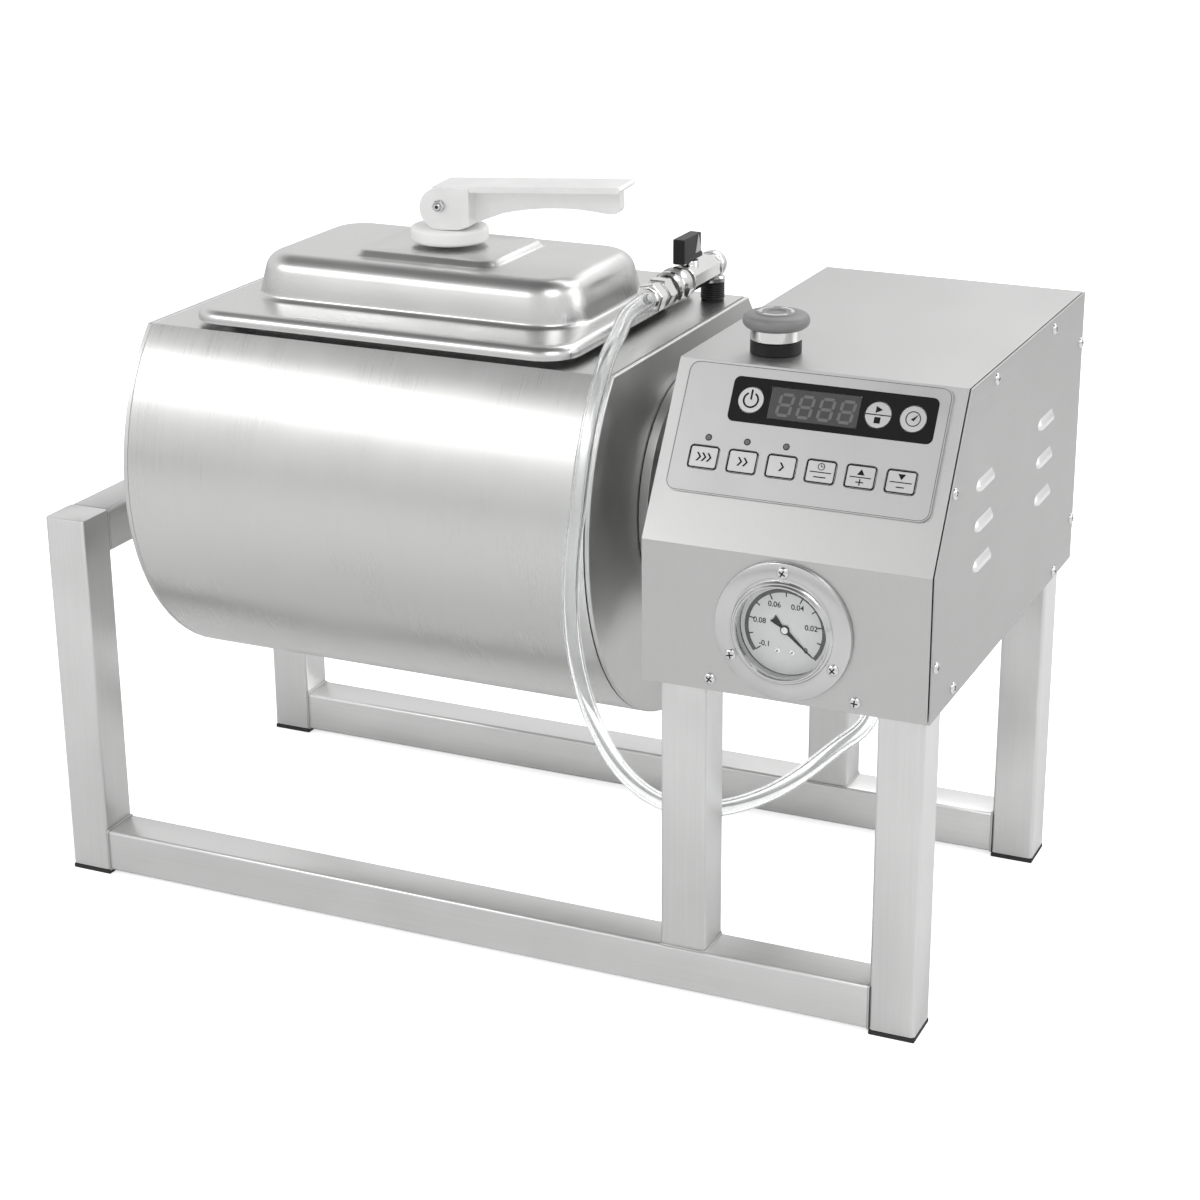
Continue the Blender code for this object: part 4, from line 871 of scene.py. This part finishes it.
def clear_plastic(name):
    """Clear soft plastic with faint clouds in it."""
    material, tree, shader, out = shader_of(name)
    clouds = surface_noise(tree, (60, 60, 60), detail=2.0)
    tint = shade(tree, (0.93, 0.94, 0.94), between(tree, clouds, 0, 1), 0.02)
    tree.links.new(tint, shader.inputs["Base Color"])
    tree.links.new(between(tree, clouds, 0.02, 0.05), shader.inputs["Roughness"])
    shader.inputs["Transmission Weight"].default_value = 0.95
    shader.inputs["IOR"].default_value = 1.36
    return material


hose_path, hose_length = smooth_route(hose_route, 0.003)
hose_data = finished("clear_hose", hose_mesh(hose_path), clear_plastic("clear_hose"), smooth=50)
hose = bpy.data.objects.new("clear_hose", hose_data)
bpy.context.scene.collection.objects.link(hose)
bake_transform(hose)
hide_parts("vacuum_hose")
dress("hose_fitting", bronze, bevel=0.0003)


# The control housing is folded from one brushed sheet, with a tray below and a side panel that is held by
# screws. The panel is cut from flat sheet, and a dark seam shows round its edge.

housing_low, housing_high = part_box("housing_shell")
panel_low, panel_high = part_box("side_panel")
panel_face = panel_high[0] - 0.002
housing_grey = (0.555, 0.555, 0.552)
shell_finish = brushed("housing_brushed", housing_grey, (700, 700, 420), 0.40, spread=0.045, relief=0.22)
panel_grey = (0.47, 0.47, 0.468)
panel_finish = brushed("panel_brushed", panel_grey, (900, 20, 900), 0.42, spread=0.03, relief=0.12)
dress("housing_shell", shell_finish, bevel=0.0012, segments=3)
dress("housing_tray", tube_finish[0], bevel=0.0004)
corners = [(v.co.y, v.co.z) for v in nodes["side_panel"].data.vertices]
outline = [corners[i] for i in geometry.convex_hull_2d(corners)]
outline_middle = [sum(values) / len(outline) for values in zip(*outline)]


def panel_ring(x, inset):
    """The panel's outline at that x, drawn in towards its middle."""
    reach = max(math.dist(corner, outline_middle) for corner in outline)
    keep = 1 - inset / reach
    cy, cz = outline_middle
    return [(x, cy + keep * (y - cy), cz + keep * (z - cz)) for y, z in outline]


panel_back = panel_low[0] + 0.0004
stations = ((panel_back, 0.0002), (panel_back + 0.0002, 0), (panel_face - 0.0005, 0), (panel_face, 0.0006))
panel_bm = skin([panel_ring(*station) for station in stations])
panel = piece("side_sheet", panel_bm, panel_finish, "stand", smooth=20)
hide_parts("side_panel")


# The louvres are pressed out of the side panel in two columns of three. Each is a scoop that is open at its
# lower edge, to let the warm air out.

louvre_half = (0.0155, 0.0038)
louvre_depth = 0.0019
louvre_steps = (24, 10)


def louvre_mesh():
    """A pressed scoop: pointed in front, full behind, rising from the sheet above and cut off below."""
    long, across_it = louvre_steps
    bm = bmesh.new()
    rows = []
    for i in range(long + 1):
        u = i / long
        wide = math.sin(math.pi / 2 * min(1.0, 0.12 + u / 0.22))
        rise = math.sin(math.pi / 2 * min(1.0, u / 0.16)) * min(1.0, (1 - u) / 0.03)
        row = []
        for j in range(across_it + 1):
            v = j / across_it
            bulge = math.sin(math.pi / 2 * min(1.0, v / 0.7)) * min(1.0, (1 - v) / 0.12)
            y = (2 * u - 1) * louvre_half[0]
            z = louvre_half[1] * (1 - 2 * v) * wide
            row.append(bm.verts.new((louvre_depth * rise * bulge - 0.0001, y, z)))
        rows.append(row)
    for low, high in zip(rows, rows[1:]):
        for j in range(across_it):
            bm.faces.new((low[j], low[j + 1], high[j + 1], high[j]))
    foot = [row[0] for row in rows] + rows[-1][1:] + [row[-1] for row in rows[-2::-1]] + rows[0][-2:0:-1]
    bm.faces.new(foot)
    return bm


# Painted highlight: the louvres are the panel's own brushed sheet, coloured much lighter than the panel to
# stand in for the light on their hoods.
pressed = brushed("louvre_painted_highlight", (0.80, 0.80, 0.80), (900, 20, 900), 0.34, spread=0.03, relief=0.08)
for column, y in enumerate((-0.0707, 0.0537)):
    for row, z in enumerate((0.303, 0.280, 0.257)):
        at = Matrix.Translation((panel_face, y, z))
        piece(f"louvre_{column}_{row}", louvre_mesh(), pressed, "stand", at, smooth=50)


# The screws are small zinc-plated pan heads with a cross recess. Eight hold the side panel, and two hold the
# tray at the front.

screw_radius, screw_height = 0.0034, 0.0018


def screw_mesh():
    """A pan head with a cross recess, cut once and used for every screw; its recess walls carry painted
    shade.
    """
    profile = [(0, screw_height)]
    for x, y in arc((0, 0), 1.0, 75, 10, 6):
        profile.append((screw_radius * (0.30 + 0.70 * x), screw_height * (0.15 + 0.85 * y)))
    profile += [(screw_radius, 0.0001), (screw_radius, 0.0), (0, 0.0)]
    bm = spun(profile, 24)
    head = bpy.data.meshes.new("screw_head")
    bmesh.ops.recalc_face_normals(bm, faces=bm.faces)
    bm.to_mesh(head)
    bm.free()
    head.materials.append(zinc)
    head.materials.append(painted_recess_shade)
    body = bpy.data.objects.new("screw_head", head)
    bpy.context.scene.collection.objects.link(body)
    cutters = []
    recess_size = (screw_radius * 1.15, screw_radius * 0.24, screw_height * 1.3, 1)
    for turn in (45, 135):
        bm = bmesh.new()
        shape = Matrix.Translation((0, 0, screw_height)) @ Matrix.Rotation(math.radians(turn), 4, "Z")
        bmesh.ops.create_cube(bm, size=1.0, matrix=shape @ Matrix.Diagonal(recess_size))
        # The cutter's faces become the recess walls and take the painted shade in slot 1.
        for face in bm.faces:
            face.material_index = 1
        slot = bpy.data.meshes.new("recess")
        bm.to_mesh(slot)
        bm.free()
        slot.materials.append(zinc)
        slot.materials.append(painted_recess_shade)
        cutter = bpy.data.objects.new("recess", slot)
        bpy.context.scene.collection.objects.link(cutter)
        cutters.append(cutter)
        cut = body.modifiers.new("recess", "BOOLEAN")
        cut.operation = "DIFFERENCE"
        cut.solver = "EXACT"
        cut.object = cutter
    graph = bpy.context.evaluated_depsgraph_get()
    done = bpy.data.meshes.new_from_object(body.evaluated_get(graph))
    done.shade_smooth()
    done.set_sharp_from_angle(angle=math.radians(35))
    for unwanted in (body, *cutters):
        bpy.data.objects.remove(unwanted)
    return done


screw_shape = screw_mesh()


def screw(name, where):
    placed(name, screw_shape, where, "stand")


side_screws = (
    (0.0637, 0.3555), (0.1290, 0.3316), (-0.0552, 0.3558), (-0.1265, 0.3120),
    (0.1290, 0.2195), (0.0922, 0.1970), (-0.1490, 0.2228), (-0.1161, 0.1991),
)
for i, (y, z) in enumerate(side_screws):
    spin = Matrix.Rotation(math.radians(23 * i), 4, "Z")
    screw(f"side_screw_{i}", Matrix.Translation((panel_face, y, z)) @ to_right @ spin)
for i, (x, z) in enumerate(((0.1529, 0.1989), (0.2362, 0.1983))):
    spin = Matrix.Rotation(math.radians(31 * i + 10), 4, "Z")
    screw(f"front_screw_{i}", Matrix.Translation((x, housing_low[1], z)) @ to_front @ spin)


# The control face is a printed film on a thin plate, stuck to the slope. It has a silver ground with a fine
# border, and a black band with holes for the window and three round keys.

slope_rise, slope_run = 0.088, 0.054
slope_length = math.hypot(slope_rise, slope_run)
to_the_right = Vector((1, 0, 0))
up_slope = Vector((0, slope_run, slope_rise)) / slope_length
outward = to_the_right.cross(up_slope)
fold = Vector((housing_low[0], housing_low[1], housing_high[2] - slope_rise))
face_top = 0.0015
ink_thickness = 0.00012


def on_face(along, up_by, out_by=0.0):
    """A frame on the slope: x to the right, y up the slope and z out of it."""
    point = fold + to_the_right * along + up_slope * up_by + outward * out_by
    turned = Matrix((to_the_right, up_slope, outward)).transposed().to_4x4()
    return Matrix.Translation(point) @ turned


def flat_print(name, outlines, where, ink, body="stand", thickness=ink_thickness):
    """A printed shape: flat outlines, later ones being holes, of ink thickness."""
    shape = outlined(name, outlines, ink)
    shape.dimensions = "2D"
    shape.fill_mode = "BOTH"
    shape.extrude = thickness / 2
    return placed(name, shape, where @ Matrix.Translation((0, 0, thickness / 2)), body)


def frame_outline(half_x, half_y, corner, width):
    """A printed border: an outline and its inner copy."""
    inner = rounded(half_x - width, half_y - width, max(corner - width, 0.0002), steps=5)
    return [rounded(half_x, half_y, corner, steps=5), inner]


film_grey, key_grey, ink_tone = (0.52,) * 3, (0.56,) * 3, (0.006,) * 3
film = moulded("silver_film", film_grey, roughness=0.44, grain=1800, relief=0.2, spread=0.03, metallic=1.0)
ink_black = moulded("black_ink", ink_tone, roughness=0.5, grain=900, relief=0.05, gloss=0.18)
ink_grey = moulded("grey_ink", (0.10, 0.10, 0.10), roughness=0.4, grain=900)
dress("control_overlay", film, bevel=0.0)
face_at = on_face(0.007 + 0.1495 / 2, 0.0285 + 0.0735 / 2, face_top)
flat_print("face_border", frame_outline(0.0742, 0.0362, 0.0056, 0.0003), face_at, ink_grey)

band_half, band_corner = (0.05775, 0.0127), 0.0036
band_row = 0.0830
band_middle = 0.09225
round_keys = {"key_power": 0.046, "key_start": 0.118, "key_vacuum": 0.1374}
window_low, window_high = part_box("display_window")
window_middle = (window_low[0] + window_high[0]) / 2 - housing_low[0]
window_hole = rounded(0.0508 / 2 + 0.0002, 0.0178 / 2 + 0.0002, 0.001, 2, (window_middle - band_middle, 0))
holes = [window_hole]
for along in round_keys.values():
    holes.append([(along - band_middle + x, y) for x, y in circle(0.0075, 40)])
band_at = on_face(band_middle, band_row, face_top)
flat_print("black_band", [rounded(*band_half, band_corner), *holes], band_at, ink_black)


# The display behind the band is a smoked window. The bars of its four digits, which aren't lit, show faintly
# through it.

window_glass, tree, shader, out = shader_of("smoked_window")
window_cloud = surface_noise(tree, (80, 80, 80))
smoke = shade(tree, (0.070, 0.070, 0.072), between(tree, window_cloud, 0, 1), 0.10)
tree.links.new(smoke, shader.inputs["Base Color"])
tree.links.new(between(tree, window_cloud, 0.28, 0.36), shader.inputs["Roughness"])
shader.inputs["Specular IOR Level"].default_value = 0.25
dress("display_window", window_glass, bevel=0.0003)
digit_ink = moulded("unlit_segments", (0.155, 0.155, 0.158), roughness=0.6, grain=400, gloss=0.2)
digit_half, digit_pitch = (0.0035, 0.0058), 0.0116
bar_width = 0.0017
lean = 0.12


def seven_segments():
    """The seven bars of one unlit digit, each with pointed ends, leaning a little to the right."""
    x, y = digit_half
    places = [(0, y, 0), (0, 0, 0), (0, -y, 0)]
    places += [(x, y / 2, 90), (x, -y / 2, 90), (-x, y / 2, 90), (-x, -y / 2, 90)]
    tip = bar_width / 2
    bars = []
    for middle_x, middle_y, turn in places:
        half = (x if turn == 0 else y / 2) - bar_width * 0.62
        end = half + tip * 0.8
        outline = [(-end, 0), (-half, -tip), (half, -tip), (end, 0), (half, tip), (-half, tip)]
        bar = [(middle_x + px, middle_y + py) for px, py in turned_by(outline, turn)]
        bars.append([(px + lean * py, py) for px, py in bar])
    return bars


for i in range(4):
    at = on_face(window_middle + 0.0012 + (i - 1.5) * digit_pitch, band_row - 0.0006, face_top)
    flat_print(f"digit_{i}", seven_segments(), at, digit_ink, thickness=0.00008)


# The keys are domed films over snap switches: six square ones in a row, with a lamp over each of the first
# three, and three round ones in the band. Each has a plain symbol in black ink.

square_keys = ("key_fast", "key_medium", "key_slow", "key_time", "key_up", "key_down")
key_first, key_pitch, key_row, lamp_row = 0.0260, 0.0223, 0.0485, 0.0597
key_top = 0.0003 + 0.0005 + 0.0009
key_film = moulded("key_film", key_grey, roughness=0.42, grain=1800, relief=0.15, spread=0.03, metallic=1.0)
for name in (*square_keys, *round_keys):
    dress(name, key_film, bevel=0.0002)


def ring_outline(radius, width, steps=36):
    return [circle(radius, steps), circle(radius - width, steps)]


def chevron(offset, size=0.0024, width=0.0008):
    """One arrowhead that points to the right."""
    left, right = offset - size / 2, offset + size / 2
    return [
        (left, size), (left + width * 1.4, size), (right + width * 0.7, 0),
        (left + width * 1.4, -size), (left, -size), (right - width * 0.7, 0),
    ]


def bar_outline(half_x, half_y, centre=(0, 0)):
    corners = ((-1, -1), (1, -1), (1, 1), (-1, 1))
    return [(centre[0] + x * half_x, centre[1] + y * half_y) for x, y in corners]


def key_print(name, outlines, where, key):
    """Black ink on a key."""
    flat_print(name, outlines, where, ink_black, body=key)


triangle_up = [(-0.0021, 0.0010), (0.0021, 0.0010), (0.0, 0.0042)]
triangle_down = [(-0.0021, 0.0042), (0.0, 0.0010), (0.0021, 0.0042)]
divider = bar_outline(0.0060, 0.00026, (0, -0.0003))
minus = bar_outline(0.0022, 0.0003, (0, -0.0030))
plus = [minus, *[bar_outline(0.0003, 0.0009, (0, height)) for height in (-0.0021, -0.0039)]]
clock = [[(x, y + 0.0028) for x, y in outline] for outline in ring_outline(0.0020, 0.0004)]
clock_hands = [bar_outline(0.00018, 0.0007, (0, 0.0034)), bar_outline(0.0006, 0.00018, (0.0005, 0.0028))]
time_bar = bar_outline(0.0034, 0.0003, (0, -0.0030))
symbols = {
    "key_fast": [[chevron(-0.0030)], [chevron(0.0)], [chevron(0.0030)]],
    "key_medium": [[chevron(-0.0016)], [chevron(0.0016)]],
    "key_slow": [[chevron(0.0)]],
    "key_time": [clock, *[[bar] for bar in (*clock_hands, divider, time_bar)]],
    "key_up": [[bar] for bar in (triangle_up, divider, *plus)],
    "key_down": [[bar] for bar in (triangle_down, divider, minus)],
}
for i, name in enumerate(square_keys):
    at = on_face(key_first + i * key_pitch, key_row, key_top)
    key_print(name + "_border", frame_outline(0.0083, 0.0063, 0.0018, 0.00072), at, name)
    drawn = 0
    for shape in symbols[name]:
        key_print(f"{name}_symbol_{drawn}", shape, at, name)
        drawn += len(shape)
for i in range(3):
    at = on_face(key_first + i * key_pitch + 0.0006, lamp_row, face_top)
    flat_print(f"lamp_{i}", [circle(0.0019, 24)], at, ink_black)
    on_lamp = at @ Matrix.Translation((0, 0, ink_thickness))
    flat_print(f"lamp_lens_{i}", [circle(0.0014, 20)], on_lamp, digit_ink)

power_gap = arc((0, 0), 0.0046, 118, 422, 30)
power_ring = [*power_gap, *[(x * 0.78, y * 0.78) for x, y in reversed(power_gap)]]
round_symbols = {
    "power_symbol": ("key_power", [power_ring]),
    "power_bar": ("key_power", [bar_outline(0.0005, 0.0028, (0, 0.0030))]),
    "start_triangle": ("key_start", [[(-0.0016, 0.0010), (0.0022, 0.0029), (-0.0016, 0.0048)]]),
    "start_divider": ("key_start", [bar_outline(0.0070, 0.00028)]),
    "stop_square": ("key_start", [bar_outline(0.0017, 0.0017, (0, -0.0030))]),
    "vacuum_ring": ("key_vacuum", ring_outline(0.0042, 0.0005)),
    "vacuum_needle": ("key_vacuum", [[(-0.0012, -0.0004), (0.0004, -0.0012), (0.0026, 0.0026)]]),
}
for name, (key, outlines) in round_symbols.items():
    key_print(name, outlines, on_face(round_keys[key], band_row, key_top), key)


# The gauge is a bought one with a bright flanged case, three screws, a domed bezel, a pale dial with plain
# numbers, a black pointer with a tail, and a flat glass.

case_low, case_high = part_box("gauge_case")
gauge_x, gauge_z = (case_low[0] + case_high[0]) / 2, (case_low[2] + case_high[2]) / 2
flange_radius = (case_high[0] - case_low[0]) / 2
gauge_y = housing_low[1]
on_gauge = Matrix.Translation((gauge_x, gauge_y, gauge_z)) @ to_front
bright = (0.62, 0.62, 0.62)
case_bright = moulded("bright_gauge_case", bright, roughness=0.2, grain=300, relief=0.03, metallic=1.0)
lens_low, lens_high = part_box("gauge_lens")
glass_radius = (lens_high[0] - lens_low[0]) / 2 + 0.0003
pocket_floor = gauge_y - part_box("gauge_dial")[1][1] - 0.0003
gauge_front, gauge_back = gauge_y - case_low[1], gauge_y - case_high[1]
barrel_radius = 0.752 * flange_radius
case_profile = [
    (0, pocket_floor), (glass_radius, pocket_floor), (glass_radius, gauge_front - 0.0006),
    (glass_radius + 0.0004, gauge_front), (glass_radius + 0.0010, gauge_front),
    (glass_radius + 0.0014, 0.0056),
    (glass_radius + 0.0018, 0.0050), (glass_radius + 0.0024, 0.0050), (glass_radius + 0.0030, 0.0044),
    (glass_radius + 0.0034, 0.0036), (glass_radius + 0.0040, 0.0033), (glass_radius + 0.0056, 0.0031),
    (flange_radius - 0.0012, 0.0030), (flange_radius - 0.0004, 0.0026), (flange_radius, 0.0018),
    (flange_radius, 0.0003), (barrel_radius, 0.0003), (barrel_radius, gauge_back), (0, gauge_back),
]
case = piece("bright_case", spun(case_profile, 96), case_bright, "stand", on_gauge, smooth=32)
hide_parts("gauge_case")
dial_paint = moulded("dial_paint", (0.66, 0.66, 0.66), roughness=0.45, grain=600, relief=0.05, spread=0.03)
dress("gauge_dial", dial_paint, bevel=0.0)
dial_z = gauge_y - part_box("gauge_dial")[0][1]
band_ink = moulded("scale_band", (0.10, 0.10, 0.10), roughness=0.5, grain=500, gloss=0.2)
scale_start, scale_sweep = -41.0, 260.0
band_outer = arc((0, 0), 0.0232, scale_start, scale_start + scale_sweep, 60)
band_inner = arc((0, 0), 0.0210, scale_start, scale_start + scale_sweep, 60)
on_dial = on_gauge @ Matrix.Translation((0, 0, dial_z))
flat_print("scale_arc", [[*band_outer, *reversed(band_inner)]], on_dial, band_ink)
for i in range(11):
    turn = Matrix.Rotation(math.radians(scale_start + scale_sweep * i / 10), 4, "Z")
    long = 0.0034 if i % 2 == 0 else 0.0025
    mark = bar_outline(long / 2, 0.00032, (0.0213 - long / 2, 0))
    at = on_dial @ turn @ Matrix.Translation((0, 0, 0.00003))
    flat_print(f"tick_{i}", [mark], at, ink_black)
for i, number in enumerate(("0", "0.02", "0.04", "0.06", "0.08", "-0.1")):
    digits = bpy.data.curves.new(f"number_{i}", "FONT")
    digits.body = number
    digits.size = 0.0043
    digits.align_x, digits.align_y = "CENTER", "CENTER"
    digits.extrude = 0.00004
    digits.offset = 0.00006
    digits.materials.append(ink_black)
    turn = math.radians(scale_start + scale_sweep * i / 5)
    reach = 0.0150 if i else 0.0158
    at = on_dial @ Matrix.Translation((reach * math.cos(turn), reach * math.sin(turn), 0.00006))
    placed(f"number_{i}", digits, at, "stand")
for side in (-1, 1):
    at = on_dial @ Matrix.Translation((side * 0.0042, -0.0125, 0)) @ Matrix.Diagonal((0.5, 0.5, 0.3, 1))
    screw("dial_screw_left" if side < 0 else "dial_screw_right", at)
for i, angle in enumerate((90, 210, 330)):
    side = Vector((math.cos(math.radians(angle)), math.sin(math.radians(angle)), 0)) * 0.0337
    spin = Matrix.Rotation(math.radians(15 + 40 * i), 4, "Z")
    screw(f"gauge_screw_{i}", on_gauge @ Matrix.Translation(side) @ Matrix.Translation((0, 0, 0.0030)) @ spin)


# The pointer is stamped from thin sheet and blacked, with a wide tail for balance, on a turned hub under a
# white cap. The glass in front of it is flat.

pointer_z = gauge_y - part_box("gauge_pointer")[1][1]
needle = [
    (-0.0092, 0.0024), (-0.0086, 0.0), (-0.0092, -0.0024), (-0.0026, -0.0007), (0.0, -0.0011),
    (0.0196, -0.00016), (0.0196, 0.00016), (0.0, 0.0011), (-0.0026, 0.0007),
]
at_zero = Matrix.Rotation(math.radians(scale_start), 4, "Z")
on_pointer = on_gauge @ Matrix.Translation((0, 0, pointer_z)) @ at_zero
pointer = flat_print(
    "black_pointer", [needle], on_pointer, ink_black, "gauge_pointer", thickness=0.0005,
)
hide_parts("gauge_pointer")
hub = spun([(0, 0.0011), (0.0022, 0.0010), (0.0026, 0.0007), (0.0026, 0.0001), (0, 0.0001)], 32)
piece("pointer_hub", hub, ink_black, "gauge_pointer", on_pointer)
cap = spun([(0, 0.0015), (0.0014, 0.0014), (0.0019, 0.0011), (0.0019, 0.0009), (0, 0.0009)], 32)
piece("pointer_cap", cap, nylon, "gauge_pointer", on_pointer)

pane, tree, shader, out = shader_of("gauge_glass")
pane_cloud = surface_noise(tree, (40, 40, 40))
tree.links.new(between(tree, pane_cloud, 0.01, 0.04), shader.inputs["Roughness"])
shader.inputs["Base Color"].default_value = (0.97, 0.98, 0.98, 1)
shader.inputs["Transmission Weight"].default_value = 1.0
shader.inputs["IOR"].default_value = 1.3
dress("gauge_lens", pane, bevel=0.0)


# The emergency stop stands on the top of the housing: a black collar, a bright ring and a mushroom head with
# three plain curved arrows that show which way it is turned to free it.

stop_low, stop_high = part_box("stop_button")
stop_x, stop_y = (stop_low[0] + stop_high[0]) / 2, (stop_low[1] + stop_high[1]) / 2
stop_top, head_radius = stop_high[2], (stop_high[0] - stop_low[0]) / 2
neck_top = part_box("stop_body")[1][2]
on_stop = Matrix.Translation((stop_x + 0.0011, stop_y, 0))
neck_radius, neck_edge = 0.0143, 0.0005
housing_top = housing_high[2]
neck_profile = [
    (0, neck_top), (neck_radius - neck_edge, neck_top), (neck_radius, neck_top - neck_edge),
    (neck_radius, housing_top + 0.0004), (neck_radius - 0.0004, housing_top + 0.0001),
    (0, housing_top + 0.0001),
]
neck = piece("stop_neck", spun(neck_profile, 64), black_plastic, "stand", on_stop, smooth=32)
dress("stop_body", black_plastic, bevel=0.0004)
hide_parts("stop_body")
ring_low, ring_high = housing_top + 0.0073, housing_top + 0.0145
ring_profile = [
    (0.0, ring_high), (neck_radius - neck_edge, ring_high), (neck_radius, ring_high - 0.0006),
    (neck_radius, ring_low + neck_edge), (neck_radius - neck_edge, ring_low), (0.0, ring_low),
]
head_tone = (0.21, 0.21, 0.21)
head_grey = moulded("stop_head", head_tone, roughness=0.4, grain=500, relief=0.1, spread=0.04)
shown_radius = head_radius - 0.0014
head_foot, head_roof = stop_top - 0.0089, stop_top - 0.0032
head_profile = [
    (0, stop_top - 0.0008),
    (0.0050, stop_top - 0.0008),
    (0.0054, stop_top - 0.0002),
    (0.0070, stop_top),
    (0.0112, stop_top - 0.0001),
    (0.0118, stop_top - 0.0007),
    (0.0145, stop_top - 0.0011),
]
for x, y in arc((0, 0), 1.0, 70, -60, 12):
    head_profile.append((shown_radius - 0.0034 + 0.0034 * x, stop_top - 0.0050 + 0.0038 * y))
head_profile += [(0.0160, head_foot), (0.0146, head_foot), (0.0146, head_roof), (0.0, head_roof)]
head = piece("stop_head", spun(head_profile, 72), head_grey, "stop_button", on_stop, smooth=32)
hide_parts("stop_button")
piece("stop_bright_ring", spun(ring_profile, 64), nickel, "stand", on_stop, smooth=32)
arrow_radius = 0.0090
for i in range(3):
    start = 120 * i
    sweep = arc((0, 0), arrow_radius, start, start + 76, 12)
    tip = arc((0, 0), arrow_radius, start + 98, start + 98, 1)[0]
    outer_edge = [(x * 1.10, y * 1.10) for x, y in sweep]
    inner_edge = [(x * 0.90, y * 0.90) for x, y in sweep]
    barb_out, barb_in = ((sweep[-1][0] * reach, sweep[-1][1] * reach) for reach in (1.26, 0.74))
    curved_arrow = [*outer_edge, barb_out, tip, barb_in, *reversed(inner_edge)]
    at = on_stop @ Matrix.Translation((0, 0, stop_top - ink_thickness))
    arrow_ink = moulded(f"arrow_ink_{i}", (0.62, 0.62, 0.62), 0.4)
    flat_print(f"stop_arrow_{i}", [curved_arrow], at, arrow_ink, "stop_button", thickness=0.0001)


# What the housing holds is seen only when it is opened: the gear motor on its bracket, the pump, the supply
# and the board. The cable gland at the back is a black nylon one.

inner_metal = moulded("motor_enamel", (0.045, 0.045, 0.048), roughness=0.45, grain=300, metallic=0.3)
board_green = moulded("lacquered_board", (0.02, 0.13, 0.05), roughness=0.4, grain=300)
for name in ("drive_motor", "vacuum_pump"):
    dress(name, inner_metal, bevel=0.0008)
for name in ("motor_bracket", "gearbox"):
    dress(name, cast, bevel=0.0006)
dress("power_supply", moulded("supply_case", (0.30, 0.30, 0.30), roughness=0.45, metallic=0.8), bevel=0.0008)
dress("control_board", board_green, bevel=0.0)
dress("cable_gland", black_plastic, bevel=0.0004)
